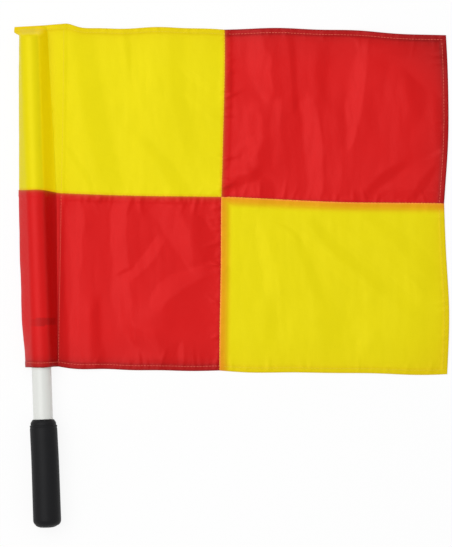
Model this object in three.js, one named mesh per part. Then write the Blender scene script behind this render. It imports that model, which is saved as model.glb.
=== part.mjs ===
// A linesman's flag laid flat on a table: a plastic staff with a rubber grip, and a cloth of four sewn quarters
// whose sleeve is loose on the staff, so that the cloth can turn round it.
// Millimetres. +Y runs up the staff from its butt, +X points to the fly edge of the cloth and +Z points up.
// The origin is the middle of the grip's flat end, on the axis of the staff.
import * as THREE from "three";

// Staff
const STAFF_SIDES = 36;
const FIT_GAP = 0.1;
const BARE_LENGTH = 53.3;
const TUBE_RADIUS = 10;
const TUBE_WALL = 1.6;
const TUBE_CHAMFER = 0.4;
const PLUG_DOME = 5;
const PLUG_STEM = 15;
const PLUG_RIB = 0.35;
const PLUG_RIBS = 2;
const PLUG_DOME_SHARES = [0.3, 0.6, 0.85];
const BAND_ABOVE_MOUTH = 46;
const BAND_WIDTH = 7.5;
const BAND_THICKNESS = 0.5;

// Grip
const GRIP_LENGTH = 110.5;
const GRIP_BUTT_RADIUS = 14.1;
const GRIP_MOUTH_RADIUS = 13.8;
const GRIP_FLOOR = 5;
const GRIP_FLAT_RADIUS = 4;
const GRIP_ROUNDING = 7.8;
const GRIP_ROUNDING_STEPS = 6;
const GROOVE_DEPTH = 0.35;
const GROOVE_WIDTH = 2.4;
const COLLAR_STEP = 0.9;
const COLLAR_LENGTH = 6;
const COLLAR_SHOULDER = 1.2;
const COLLAR_CHAMFER = 2.2;

// Cloth, measured from the point where its cross seam meets the sleeve's stitching
const CLOTH = 0.3;
const LAYER_GAP = 0.3;
const HOIST_WIDTH = 163.5;
const FLY_TOP_WIDTH = 225;
const FLY_MIDDLE_WIDTH = 227;
const FLY_BOTTOM_WIDTH = 232;
const FLY_BOW = 3.3;
const UPPER_HEIGHT = 169.8;
const LOWER_HEIGHT = 176.3;
const TOP_BOW = 3.4;
const TOP_PEAK = 3.2;
const TOP_PEAK_WIDTH = 24;
const HEM = 6;
const ALLOWANCE = 7;
const DITCH = 1.6;
const STEP = 1;
const WEFT_TURN = THREE.MathUtils.degToRad(3.3);
const WARP_TURN = THREE.MathUtils.degToRad(2.8);

// Sleeve
const SEAM_FROM_AXIS = 26;
const SEAM_OVERLAP = 1.3;
const SLEEVE_HEM = 7;
const SLACK_TOP = 1;
const SLACK_MIDDLE = 6.6;
const SLACK_BOTTOM = 4.8;
const RISE_TOP = -2.4;
const RISE_MIDDLE = 4.4;
const RISE_BOTTOM = 1.6;
const EAR = 3.6;
const LANDING = 19;
const FOLD_LOOP = 5.5;
const CLEAR_OF_TIP = 1.9;
const TIP_CLOSING = 2;
const TENT_START = THREE.MathUtils.degToRad(162);
const TENT_END = THREE.MathUtils.degToRad(28);
const TENT_STEPS = 6;
const LOOP_STEPS = 3;
const SLOPE_STEPS = 4;
const TIP_TENT_SHARE = 0.75;

// Thread
const THREAD_WIDTH = 0.5;
const THREAD_HEIGHT = 0.35;
const STITCH_INSET = 1.3;

// Where the open cloth has its lines of points, in shares of its width or height
const HOIST_LINE_SHARES = [0.09, 0.18, 0.27, 0.36, 0.45, 0.54, 0.63, 0.72, 0.81, 0.91];
const FLY_LINE_SHARES = [0.06, 0.13, 0.2, 0.27, 0.34, 0.41, 0.48, 0.55, 0.62, 0.69, 0.76, 0.83, 0.9, 0.96];
const ROW_SHARES = [0.1, 0.2, 0.3, 0.4, 0.5, 0.6, 0.7, 0.8, 0.9];

// The folds that the cloth holds. Each is a ridge between two places, given across the cloth as a share of its width
// from the sleeve to the fly, and up it as a share of the upper height, or of the lower one where it is negative.
// Its width and height follow, as shares of the two sizes below.
const FOLD_WIDTH = 14;
const FOLD_HEIGHT = 4;
const SEWN_SHARE = 0.3;
const FOLD_SHARES = [
  [0.46, 0.95, 0.54, 0.6, 0.9, 1],
  [0.63, 0.6, 0.66, 0.1, 0.8, 0.9],
  [0.77, 0.92, 0.75, 0.3, 0.9, 0.9],
  [0.12, 0.9, 0.2, 0.25, 1.4, 0.7],
  [0.27, 0.95, 0.31, 0.4, 1.5, 0.8],
  [0.05, -0.12, 0.06, -0.85, 0.7, 0.7],
  [0.15, -0.05, 0.18, -0.42, 0.8, 0.9],
  [0.16, -0.45, 0.24, -0.88, 0.8, 1],
  [0.26, -0.05, 0.35, -0.38, 0.9, 0.9],
  [0.24, -0.6, 0.4, -0.4, 0.9, 0.8],
  [0.48, -0.12, 0.7, -0.62, 1.5, 0.8],
  [0.7, -0.12, 0.93, -0.5, 1.5, 0.8],
];

const floorLevel = -GRIP_BUTT_RADIUS * Math.cos(Math.PI / STAFF_SIDES);
const boreRadius = TUBE_RADIUS - TUBE_WALL;
const bandRadius = TUBE_RADIUS + FIT_GAP;
const tentAngle = (TENT_START - TENT_END) / TENT_STEPS;
const tentRadius = (bandRadius + BAND_THICKNESS + LAYER_GAP) / Math.cos(tentAngle / 2);
const seamLift = 3 * CLOTH + LAYER_GAP;
const mouthHeight = GRIP_LENGTH + BARE_LENGTH;
const crossing = new THREE.Vector2(SEAM_FROM_AXIS, mouthHeight + LOWER_HEIGHT * Math.cos(WARP_TURN));
const staffLength = underTopHem() - TIP_CLOSING - CLEAR_OF_TIP;

const yellowCloth = new THREE.MeshStandardMaterial({ color: 0xeedf16, roughness: 0.6 });
const redCloth = new THREE.MeshStandardMaterial({ color: 0xda2729, roughness: 0.55 });
const yellowThread = new THREE.MeshStandardMaterial({ color: 0xe6c65a, roughness: 0.7 });
const whitePlastic = new THREE.MeshStandardMaterial({ color: 0xe2e3dd, roughness: 0.35 });
const blackRubber = new THREE.MeshStandardMaterial({ color: 0x27272a, roughness: 0.85 });
const blackTape = new THREE.MeshStandardMaterial({ color: 0x1c1c1e, roughness: 0.5 });

// A body turned round the staff's axis from points of radius and height. Its lowest facet is level.
function turned(name, material, points) {
  const profile = points.map(([radius, height]) => new THREE.Vector2(radius, height));
  const geometry = new THREE.LatheGeometry(profile, STAFF_SIDES, Math.PI / STAFF_SIDES);
  const mesh = new THREE.Mesh(geometry, material);
  mesh.name = name;
  return mesh;
}

function poleTube() {
  const low = GRIP_FLOOR + FIT_GAP;
  const high = staffLength - PLUG_DOME - FIT_GAP;
  return turned("pole_tube", whitePlastic, [
    [boreRadius, low],
    [TUBE_RADIUS - TUBE_CHAMFER, low],
    [TUBE_RADIUS, low + TUBE_CHAMFER],
    [TUBE_RADIUS, high - TUBE_CHAMFER],
    [TUBE_RADIUS - TUBE_CHAMFER, high],
    [boreRadius, high],
    [boreRadius, low],
  ]);
}

// The plug's stem has ribs that grip the bore, and its dome closes the tube.
function tipPlug() {
  const seat = staffLength - PLUG_DOME;
  const ribRadius = boreRadius - FIT_GAP;
  const stemRadius = ribRadius - PLUG_RIB;
  const pitch = PLUG_STEM / PLUG_RIBS;
  const points = [[0, seat - PLUG_STEM]];
  for (let rib = 0; rib < PLUG_RIBS; rib++) {
    const foot = seat - PLUG_STEM + rib * pitch;
    points.push([stemRadius, foot], [ribRadius, foot + pitch / 4]);
    points.push([ribRadius, foot + pitch / 2], [stemRadius, foot + (3 * pitch) / 4]);
  }
  points.push([stemRadius, seat], [TUBE_RADIUS, seat]);
  for (const share of PLUG_DOME_SHARES) {
    const angle = (share * Math.PI) / 2;
    points.push([TUBE_RADIUS * Math.cos(angle), seat + PLUG_DOME * Math.sin(angle)]);
  }
  points.push([0, staffLength]);
  return turned("tip_plug", whitePlastic, points);
}

// A turn of tape under the sleeve, which keeps the cloth from sliding down the staff.
function retainingBand() {
  const middle = mouthHeight + BAND_ABOVE_MOUTH;
  const outer = bandRadius + BAND_THICKNESS;
  return turned("retaining_band", blackTape, [
    [bandRadius, middle - BAND_WIDTH / 2],
    [outer, middle - BAND_WIDTH / 2],
    [outer, middle + BAND_WIDTH / 2],
    [bandRadius, middle + BAND_WIDTH / 2],
    [bandRadius, middle - BAND_WIDTH / 2],
  ]);
}

function grip() {
  const points = [[0, 0]];
  for (let i = 0; i <= GRIP_ROUNDING_STEPS; i++) {
    const angle = ((i / GRIP_ROUNDING_STEPS) * Math.PI) / 2;
    const radius = THREE.MathUtils.lerp(GRIP_FLAT_RADIUS, GRIP_BUTT_RADIUS, Math.sin(angle));
    points.push([radius, GRIP_ROUNDING * (1 - Math.cos(angle))]);
  }
  const shoulder = GRIP_LENGTH - COLLAR_LENGTH;
  const groove = shoulder - COLLAR_SHOULDER - GROOVE_WIDTH;
  const collarRadius = GRIP_MOUTH_RADIUS - COLLAR_STEP;
  const mouthRadius = collarRadius - COLLAR_CHAMFER * Math.SQRT1_2;
  points.push(
    [GRIP_MOUTH_RADIUS, groove - GROOVE_WIDTH / 2],
    [GRIP_MOUTH_RADIUS - GROOVE_DEPTH, groove],
    [GRIP_MOUTH_RADIUS, groove + GROOVE_WIDTH / 2],
    [GRIP_MOUTH_RADIUS, shoulder - COLLAR_SHOULDER],
    [collarRadius, shoulder],
    [collarRadius, GRIP_LENGTH - COLLAR_CHAMFER],
    [Math.max(mouthRadius, bandRadius + FIT_GAP), GRIP_LENGTH],
    [bandRadius, GRIP_LENGTH],
    [bandRadius, GRIP_FLOOR],
    [0, GRIP_FLOOR],
  );
  return turned("grip", blackRubber, points);
}

// How far the hoist edge of the sleeve lies from the staff's axis, how far it rises over the stitching of the
// sleeve, and how much of its tent over the staff it keeps.
function sleeveAt(row) {
  const up = row.place(0);
  const share = up > 0 ? up / (UPPER_HEIGHT + TOP_PEAK) : -up / LOWER_HEIGHT;
  const slack = THREE.MathUtils.lerp(SLACK_MIDDLE, up > 0 ? SLACK_TOP : SLACK_BOTTOM, share * share);
  const rise = THREE.MathUtils.lerp(RISE_MIDDLE, up > 0 ? RISE_TOP : RISE_BOTTOM, share);
  return { hoist: -tentRadius - slack, rise, tent: row.tentShare };
}

// The height over the staff's axis at which the sleeve lies flat under its top hem.
function underTopHem() {
  const top = UPPER_HEIGHT + TOP_PEAK;
  const seam = SEAM_FROM_AXIS + top * Math.sin(WARP_TURN);
  const rise = (RISE_TOP * seam) / (seam + tentRadius + SLACK_TOP);
  return crossing.y + top * Math.cos(WARP_TURN) + rise - HEM - STEP;
}

// The place on the table of a point of the cloth, given across it and up it from the crossing.
function onTable(across, up) {
  const x = crossing.x + across * Math.cos(WEFT_TURN) + up * Math.sin(WARP_TURN);
  const y = crossing.y - across * Math.sin(WEFT_TURN) + up * Math.cos(WARP_TURN);
  return [x, y];
}

// The fly edge bows out over each quarter.
function flyEdge(up) {
  const share = Math.abs(up) / (up > 0 ? UPPER_HEIGHT : LOWER_HEIGHT);
  const end = up > 0 ? FLY_TOP_WIDTH : FLY_BOTTOM_WIDTH;
  const bow = FLY_BOW * Math.sin(Math.PI * Math.min(share, 1));
  return HOIST_WIDTH + THREE.MathUtils.lerp(FLY_MIDDLE_WIDTH, end, share) + bow;
}

// The top edge bows over each quarter and peaks at the sleeve's stitching.
function topEdge(across) {
  const hoistShare = THREE.MathUtils.clamp(across / HOIST_WIDTH, 0, 1);
  const flyShare = THREE.MathUtils.clamp((across - HOIST_WIDTH) / FLY_TOP_WIDTH, 0, 1);
  const bows = hoistShare * Math.sin(Math.PI * hoistShare) + Math.sin(Math.PI * flyShare);
  const peak = TOP_PEAK * Math.exp(-((across / TOP_PEAK_WIDTH) ** 2));
  return UPPER_HEIGHT + TOP_BOW * bows + peak;
}

function foldHeight(across, up) {
  const width = HOIST_WIDTH + FLY_MIDDLE_WIDTH;
  const place = (acrossShare, upShare) => {
    const height = upShare > 0 ? UPPER_HEIGHT : LOWER_HEIGHT;
    return new THREE.Vector3(acrossShare * width, upShare * height, 0);
  };
  const point = new THREE.Vector3(across, up, 0);
  let sum = 0;
  for (const [acrossFrom, upFrom, acrossTo, upTo, widthShare, heightShare] of FOLD_SHARES) {
    const ridge = new THREE.Line3(place(acrossFrom, upFrom), place(acrossTo, upTo));
    const nearest = ridge.closestPointToPoint(point, true, new THREE.Vector3());
    const distance = nearest.distanceTo(point) / (FOLD_WIDTH * widthShare);
    sum += FOLD_HEIGHT * heightShare * Math.exp(-(distance ** 2));
  }
  return sum;
}

// A line of points along or across a quarter. Its place may depend on where it is crossed. The cloth has one layer
// there, two at a seam's allowance or three at a hem, and lies on the table only where its lines are open.
function line(place, layers, isOpen = false) {
  return { place, layers, isOpen, isTucked: false, tentShare: 1 };
}

// The two lines of the edge that is tucked under the neighbour. It stops short wherever the cloth isn't open.
function tuckedLines(edge, outward) {
  const tucked = (shortReach, fullReach) => {
    const place = (other, isOpen) => edge + outward * (isOpen ? fullReach : shortReach);
    return { ...line(place, 1), isTucked: true };
  };
  return [tucked(-2 * LAYER_GAP, -LAYER_GAP), tucked(-LAYER_GAP, ALLOWANCE - STEP)];
}

// The rows of a quarter from its lower end to its upper end.
function rowsOf(isUpper) {
  const first = ALLOWANCE + STEP;
  if (!isUpper) {
    const open = ROW_SHARES.map((share) => {
      return line(() => -THREE.MathUtils.lerp(first, LOWER_HEIGHT - HEM - STEP, share), 1, true);
    });
    const seam = [line(() => 0, 2), line(() => -ALLOWANCE, 2), line(() => -first, 1)];
    const hem = [HEM + STEP, HEM, 0].map((inset) => line(() => inset - LOWER_HEIGHT, inset > HEM ? 1 : 3));
    return [...seam, ...open, ...hem].reverse();
  }
  const open = ROW_SHARES.map((share) => {
    const last = HEM + 2 * STEP + TIP_CLOSING + CLEAR_OF_TIP + PLUG_DOME;
    return line((across) => THREE.MathUtils.lerp(first, topEdge(across) - last, share), 1, true);
  });
  const belowTop = (inset, layers, tentShare, isOpen = false) => {
    return { ...line((across) => topEdge(across) - inset, layers, isOpen), tentShare };
  };
  const closed = HEM + STEP;
  const [tuckStart, tuckEnd] = tuckedLines(0, -1);
  return [
    tuckEnd,
    tuckStart,
    line(() => DITCH, 1),
    line(() => ALLOWANCE, 1),
    ...open,
    belowTop(closed + TIP_CLOSING + CLEAR_OF_TIP + PLUG_DOME / 2, 1, 1, true),
    belowTop(closed + TIP_CLOSING, 1, TIP_TENT_SHARE, true),
    belowTop(closed, 1, 0),
    belowTop(HEM, 3, 0),
    belowTop(0, 3, 0),
  ];
}

// The columns of a quarter from its hoist end to its fly end. A hoist quarter starts at the sleeve's stitching.
function columnsOf(isHoist) {
  if (isHoist) {
    const first = SEAM_OVERLAP + STEP;
    const last = HOIST_WIDTH - DITCH;
    const open = HOIST_LINE_SHARES.map((share) => line(() => THREE.MathUtils.lerp(first, last, share), 1, true));
    return [
      line(() => 0, 1),
      line(() => first, 1),
      ...open,
      line(() => last, 1),
      ...tuckedLines(HOIST_WIDTH, 1),
    ];
  }
  const first = HOIST_WIDTH + ALLOWANCE + STEP;
  const last = (up) => flyEdge(up) - HEM - STEP;
  const open = FLY_LINE_SHARES.map((share) => line((up) => THREE.MathUtils.lerp(first, last(up), share), 1, true));
  return [
    line(() => HOIST_WIDTH, 2),
    line(() => HOIST_WIDTH + ALLOWANCE, 2),
    line(() => first, 1),
    ...open,
    line(last, 1),
    line((up) => flyEdge(up) - HEM, 3),
    line(flyEdge, 3),
  ];
}

// A point of the cloth on its two faces: inner is the under face and outer is the upper one.
function clothPoint(row, column) {
  const guess = column.place(row.place(HOIST_WIDTH, column.isOpen), row.isOpen);
  const up = row.place(guess, column.isOpen);
  const across = column.place(up, row.isOpen);
  const layers = Math.max(row.layers, column.layers);
  const isOpen = row.isOpen && column.isOpen;
  const isOnSleeve = across < SEAM_OVERLAP + 2 * STEP;
  const isTucked = (row.isTucked && across > SEAM_OVERLAP) || column.isTucked;
  const onSleeve = CLOTH * (layers + Math.max(2, layers)) + LAYER_GAP;
  const lift = isOnSleeve ? onSleeve : isOpen ? CLOTH : seamLift;
  const drop = isTucked && layers < 3 ? 2 * CLOTH + LAYER_GAP : 0;
  const fold = foldHeight(across, up) * (isOpen ? 1 : SEWN_SHARE);
  const [x, y] = onTable(across, up);
  const outer = new THREE.Vector3(x, y, floorLevel + lift - drop + fold);
  const inner = outer.clone();
  inner.z -= CLOTH * layers;
  return { outer, inner, isFront: true };
}

// The sleeve across one row, as points of its inner face with their outward directions: the back from its hem to
// the hoist edge, the loop there, the tent over the staff, and the slope down to the stitching.
function sleeveSection(row, seam) {
  const { hoist, tent } = sleeveAt(row);
  const back = CLOTH * row.layers;
  const backHem = CLOTH * Math.max(2, row.layers);
  const seat = backHem + LAYER_GAP;
  const down = [0, -1];
  const hemEnd = seam + SEAM_OVERLAP - SLEEVE_HEM;
  const points = [
    { x: seam + SEAM_OVERLAP, z: backHem, out: down },
    { x: hemEnd, z: backHem, out: down },
    { x: hemEnd - STEP, z: back, out: down },
    { x: 0, z: back, out: down },
  ];
  const ear = (1 - tent) * EAR;
  for (let i = 0; i <= LOOP_STEPS; i++) {
    const angle = ((i / LOOP_STEPS) * Math.PI) / 2;
    const out = [-Math.sin(angle), -Math.cos(angle)];
    const z = back + FOLD_LOOP * (1 - Math.cos(angle)) * tent;
    points.push({ x: hoist - ear + FOLD_LOOP * (1 - Math.sin(angle)), z, out });
  }
  const onTop = (x, z, out) => {
    const flattened = [out[0] * tent, THREE.MathUtils.lerp(1, out[1], tent)];
    points.push({ x, z: THREE.MathUtils.lerp(seat, z, tent), out: flattened, isFront: true });
  };
  for (let i = 0; i <= TENT_STEPS; i++) {
    const angle = TENT_START - i * tentAngle;
    const out = [Math.cos(angle), Math.sin(angle)];
    onTop(tentRadius * out[0], tentRadius * out[1] - floorLevel, out);
  }
  const from = new THREE.Vector2(tentRadius * Math.cos(TENT_END), tentRadius * Math.sin(TENT_END) - floorLevel);
  const to = new THREE.Vector2(Math.min(LANDING, seam - STEP), seat);
  for (let i = 1; i <= SLOPE_STEPS; i++) {
    const share = i / SLOPE_STEPS;
    const x = THREE.MathUtils.lerp(from.x, to.x, share);
    const z = THREE.MathUtils.lerp(to.y, from.y, (1 - share) ** 2);
    const steepness = (2 * (1 - share) * (from.y - to.y)) / (to.x - from.x);
    const out = new THREE.Vector2(steepness, 1).normalize();
    onTop(x, z, [out.x, out.y]);
  }
  return points;
}

function sleevePoints(row) {
  const [seamX, seamY] = onTable(0, row.place(0, false));
  const { hoist, rise } = sleeveAt(row);
  return sleeveSection(row, seamX).map(({ x, z, out, isFront }) => {
    const y = seamY + (rise * (seamX - x)) / (seamX - hoist);
    const inner = new THREE.Vector3(x, y, floorLevel + z);
    const isLying = out[1] === -1;
    const thickness = isLying ? z : CLOTH * row.layers;
    const outer = inner.clone().addScaledVector(new THREE.Vector3(out[0], 0, out[1]), thickness);
    return { inner, outer, isFront };
  });
}

// The cloth of one quarter, as rows of points.
function quarter(isUpper, isHoist) {
  const columns = columnsOf(isHoist);
  return rowsOf(isUpper).map((row) => {
    const points = columns.map((column) => ({ ...clothPoint(row, column), column }));
    const sleeve = isHoist ? sleevePoints(row) : [];
    return [...sleeve, ...points];
  });
}

// A closed mesh with a grid of outer points and a grid of inner points.
function sheet(name, material, grid) {
  const rows = grid.length;
  const columns = grid[0].length;
  const points = grid.flat();
  const outer = (r, c) => r * columns + c;
  const inner = (r, c) => rows * columns + r * columns + c;
  const index = [];
  const quad = (a, b, c, d) => index.push(a, b, c, a, c, d);
  const lastRow = rows - 1;
  const lastColumn = columns - 1;
  for (let r = 0; r < lastRow; r++) {
    for (let c = 0; c < lastColumn; c++) {
      quad(outer(r, c), outer(r, c + 1), outer(r + 1, c + 1), outer(r + 1, c));
      quad(inner(r, c), inner(r + 1, c), inner(r + 1, c + 1), inner(r, c + 1));
    }
    quad(outer(r + 1, 0), inner(r + 1, 0), inner(r, 0), outer(r, 0));
    quad(outer(r, lastColumn), inner(r, lastColumn), inner(r + 1, lastColumn), outer(r + 1, lastColumn));
  }
  for (let c = 0; c < lastColumn; c++) {
    quad(outer(0, c), inner(0, c), inner(0, c + 1), outer(0, c + 1));
    quad(outer(lastRow, c + 1), inner(lastRow, c + 1), inner(lastRow, c), outer(lastRow, c));
  }
  const positions = [...points.map((point) => point.outer), ...points.map((point) => point.inner)];
  const geometry = new THREE.BufferGeometry().setFromPoints(positions).setIndex(index);
  geometry.computeVertexNormals();
  const mesh = new THREE.Mesh(geometry, material);
  mesh.name = name;
  return mesh;
}

// A line of stitching, as one flat thread over the given points of the cloth's upper face.
function thread(name, stations, lift) {
  const grid = stations.map(({ point, out }, i) => {
    const before = stations[Math.max(i - 1, 0)].point;
    const after = stations[Math.min(i + 1, stations.length - 1)].point;
    const along = after.clone().sub(before).normalize();
    const side = along.clone().cross(out).normalize();
    return [-1, 1].map((sign) => {
      const inner = point.clone().addScaledVector(side, (sign * THREAD_WIDTH) / 2).addScaledVector(out, lift);
      return { inner, outer: inner.clone().addScaledVector(out, THREAD_HEIGHT) };
    });
  });
  return sheet(name, yellowThread, grid);
}

// A station of a thread on the cloth's face, or part of the way to the next point of that face.
function station(from, to = from, share = 0) {
  const out = from.outer.clone().sub(from.inner).normalize();
  return { point: from.outer.clone().lerp(to.outer, share), out };
}

const upperHoist = quarter(true, true);
const upperFly = quarter(true, false);
const lowerHoist = quarter(false, true);
const lowerFly = quarter(false, false);

// The points of the cloth's face that a thread over both quarters of a row runs over.
function acrossBoth(hoistRow, flyRow) {
  return [...hoistRow, ...flyRow].filter((point) => point.isFront && !point.column?.isTucked);
}

function hemThreads() {
  const stitched = (outerRow, innerRow) => {
    return innerRow.map((point, i) => station(point, outerRow[i], STITCH_INSET / HEM)).slice(0, -2);
  };
  const top = stitched(acrossBoth(upperHoist.at(-1), upperFly.at(-1)), acrossBoth(upperHoist.at(-2), upperFly.at(-2)));
  const bottom = stitched(acrossBoth(lowerHoist[0], lowerFly[0]), acrossBoth(lowerHoist[1], lowerFly[1]));
  const flyRows = [...lowerFly.slice(2), ...upperFly.slice(2, -2)];
  const fly = flyRows.map((row) => station(row.at(-2), row.at(-1), STITCH_INSET / HEM));
  return [
    thread("top_hem_thread", top, LAYER_GAP),
    thread("bottom_hem_thread", bottom, LAYER_GAP),
    thread("fly_hem_thread", fly, LAYER_GAP),
  ];
}

function sleeveThread() {
  const rows = [...lowerHoist.slice(2), ...upperHoist.slice(2, -2)];
  const seam = rows.map((row) => row.find((point) => point.column));
  return thread("sleeve_thread", seam.map((point) => station(point)), LAYER_GAP);
}

// The threads that close the four seams lie in the ditch at each seam's folded edge.
function seamThreads() {
  const offset = LAYER_GAP + THREAD_WIDTH / 2;
  const warpwise = new THREE.Vector3(Math.sin(WARP_TURN), Math.cos(WARP_TURN), 0).multiplyScalar(offset);
  const weftwise = new THREE.Vector3(-Math.cos(WEFT_TURN), Math.sin(WEFT_TURN), 0).multiplyScalar(offset);
  const up = new THREE.Vector3(0, 0, 1);
  const beside = (points, shift) => points.map((point) => ({ point: point.outer.clone().add(shift), out: up }));
  const hoistEdge = lowerHoist.at(-1).filter((point) => point.column && !point.column.isTucked).slice(1);
  const flyEdgePoints = lowerFly.at(-1).slice(0, -2);
  const upperEdge = upperFly.slice(2, -2).map((row) => row[0]);
  const lowerEdge = lowerFly.slice(2).map((row) => row[0]);
  const lift = -THREAD_HEIGHT / 2;
  return [
    thread("hoist_cross_seam_thread", beside(hoistEdge, warpwise), lift),
    thread("fly_cross_seam_thread", beside(flyEdgePoints, warpwise), lift),
    thread("upper_seam_thread", beside(upperEdge, weftwise), lift),
    thread("lower_seam_thread", beside(lowerEdge, weftwise), lift),
  ];
}

const flag = new THREE.Group();
flag.add(poleTube(), tipPlug(), retainingBand(), grip());
flag.add(
  sheet("upper_hoist_quarter", yellowCloth, upperHoist),
  sheet("upper_fly_quarter", redCloth, upperFly),
  sheet("lower_hoist_quarter", redCloth, lowerHoist),
  sheet("lower_fly_quarter", yellowCloth, lowerFly),
);
flag.add(...hemThreads(), sleeveThread(), ...seamThreads());

export default flag;
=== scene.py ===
"""A linesman's flag that lies flat: four sewn quarters of thin cloth, with a sleeve that is loose on its staff."""

import math

import bpy
import numpy as np
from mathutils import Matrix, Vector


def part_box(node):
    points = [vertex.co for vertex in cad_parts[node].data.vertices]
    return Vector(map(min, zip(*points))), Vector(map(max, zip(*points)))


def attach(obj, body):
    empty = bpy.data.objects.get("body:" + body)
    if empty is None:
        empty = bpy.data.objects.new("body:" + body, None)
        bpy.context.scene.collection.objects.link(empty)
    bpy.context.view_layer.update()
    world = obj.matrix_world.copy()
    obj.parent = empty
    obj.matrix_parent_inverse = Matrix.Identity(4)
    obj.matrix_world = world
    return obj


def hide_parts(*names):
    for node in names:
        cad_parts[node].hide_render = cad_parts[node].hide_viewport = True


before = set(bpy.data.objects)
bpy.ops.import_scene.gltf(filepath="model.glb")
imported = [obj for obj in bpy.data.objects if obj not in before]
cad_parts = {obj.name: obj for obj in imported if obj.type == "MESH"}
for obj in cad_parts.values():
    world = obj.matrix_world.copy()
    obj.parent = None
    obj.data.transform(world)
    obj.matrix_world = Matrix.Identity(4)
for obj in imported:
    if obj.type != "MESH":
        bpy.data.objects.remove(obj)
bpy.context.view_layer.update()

bl_info = {
    "name": "Linesman flag",
    "version": (1, 0, 0),
    "blender": (4, 5, 0),
    "location": "View3D > Sidebar > Flag",
    "description": "Builds the cloth, stitching, staff and stage of a linesman's flag",
    "category": "Object",
}

MM = 0.001


def along_staff(box):
    """Where a box of the CAD model begins and ends along the staff, in millimetres."""
    return [corner.y / MM for corner in box]


# Where things are in the CAD model: heights over the staff's axis and places along it, in millimetres
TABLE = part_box("grip")[0].z / MM
CLOTH_LEVEL = TABLE + 0.02
TIP = along_staff(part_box("tip_plug"))[1]
GRIP_MOUTH = along_staff(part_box("grip"))[1]
BAND_START, BAND_END = along_staff(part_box("retaining_band"))
BAND_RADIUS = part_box("retaining_band")[1].x / MM


# Settings that a user would change


def length(name, description, default):
    return bpy.props.FloatProperty(
        name=name, description=description, default=default, min=0, unit="LENGTH", precision=5
    )


def share(name, description, default):
    return bpy.props.FloatProperty(name=name, description=description, default=default, min=0, subtype="FACTOR")


def colour(name, description, default):
    return bpy.props.FloatVectorProperty(
        name=name, description=description, default=default, min=0, max=1, size=3, subtype="COLOR"
    )


class FlagClothSettings(bpy.types.PropertyGroup):
    thickness: length("Thickness", "Thickness of one layer of cloth", 0.00017)
    hem: length("Hem", "Width of the hems along the free edges", 0.006)
    allowance: length("Allowance", "Width that is turned under at a seam", 0.007)
    pitch: length("Mesh pitch", "Distance between the lines of the mesh", 0.0014)
    fold_depth: share("Fold depth", "How deep the folds of the cloth are", 1.35)
    pucker: length("Pucker", "Height of the puckers along a line of stitching", 0.0009)
    weave: length("Weave", "Distance between two threads of the weave", 0.0004)
    red: colour("Red", "Colour of the red quarters", (0.635, 0.002, 0.002))
    yellow: colour("Yellow", "Colour of the yellow quarters", (0.764, 0.653, 0.0))
    red_on_yellow: colour("Red on yellow", "Red cloth with a yellow edge under it", (0.62, 0.1, 0.004))
    yellow_on_red: colour("Yellow on red", "Yellow cloth with a red allowance under it", (0.745, 0.335, 0.004))


class FlagSleeveSettings(bpy.types.PropertyGroup):
    room: length("Room", "Distance from the staff's axis to the inside of the sleeve", 0.0111)
    landing: length("Landing", "Distance from the axis to where the sleeve reaches the table at its mouth", 0.0165)
    spread: length("Spread", "How much further out it reaches the table beside the cross seam", 0.005)
    loop: length("Loop", "Height of the fold at the sleeve's free side", 0.0034)
    ear: length("Ear", "How far the closed top of the sleeve stands out", 0.005)


class FlagStitchSettings(bpy.types.PropertyGroup):
    size: length("Stitch", "Length of one stitch", 0.0026)
    gap: length("Gap", "Distance between two stitches", 0.0006)
    width: length("Width", "Thickness of the thread", 0.00034)
    thread: colour("Thread", "Colour of the thread", (0.88, 0.68, 0.04))
    thread_on_red: colour("Thread on red", "Colour of the thin thread where red shows through it", (1.0, 0.19, 0.12))


class FlagStaffSettings(bpy.types.PropertyGroup):
    tube: length("Tube", "Outside radius of the tube", 0.01)
    wall: length("Wall", "Thickness of the tube's wall", 0.0016)
    grip: length("Grip", "Radius of the grip near its end", 0.01405)
    white: colour("White", "Colour of the tube", (0.735, 0.745, 0.71))
    plug: colour("Plug", "Colour of the plug in the tip", (0.74, 0.75, 0.72))
    black: colour("Black", "Colour of the grip", (0.0052, 0.0053, 0.0062))
    tape: colour("Tape", "Colour of the band under the sleeve", (0.015, 0.015, 0.016))


class FlagStageSettings(bpy.types.PropertyGroup):
    height: length("Camera height", "Height of the camera over the table", 20.0)
    view: length("View", "Length that the camera sees along its frame's long side", 0.558)
    fill: share("Fill", "Strength of the even light", 0.6)
    key: share("Key", "Strength of the soft light from the left", 0.39)
    top: share("Top light", "Strength of the soft light from the top", 0.06)
    floor: colour("Floor", "Colour of the floor", (0.96, 0.96, 0.96))


SETTINGS = {
    "flag_cloth": FlagClothSettings,
    "flag_sleeve": FlagSleeveSettings,
    "flag_stitch": FlagStitchSettings,
    "flag_staff": FlagStaffSettings,
    "flag_stage": FlagStageSettings,
}


# Shaping, in millimetres


def ease(x):
    """A smooth step from 0 to 1 as x goes from 0 to 1."""
    x = np.clip(x, 0, 1)
    return x * x * (3 - 2 * x)


def rise(x, start, width):
    """A smooth step from 0 at a place to 1 at a width past it."""
    return ease((x - start) / width)


def fall(x, start, width):
    """A smooth step from 1 at a place to 0 at a width past it."""
    return 1 - rise(x, start, width)


def bump(x, width):
    """A bell of height 1 about zero."""
    return np.exp(-((x / width) ** 2))


def rounding(share, least=0):
    """The height of a rounded edge, from its outside at 0 to its full height at 1."""
    return np.sqrt(np.clip(1 - (1 - np.clip(share, 0, 1)) ** 2, least, 1))


def waves(place, period, seed):
    """An uneven wave from 0 to 1 along a line: the middle of four sines."""
    draw = np.random.default_rng(seed)
    count = 4
    total = 0
    for _ in range(count):
        total = total + np.sin(2 * math.pi * place / (period * draw.uniform(0.7, 1.6)) + draw.uniform(0, 7))
    return 0.5 + total / (2 * count)


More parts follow.
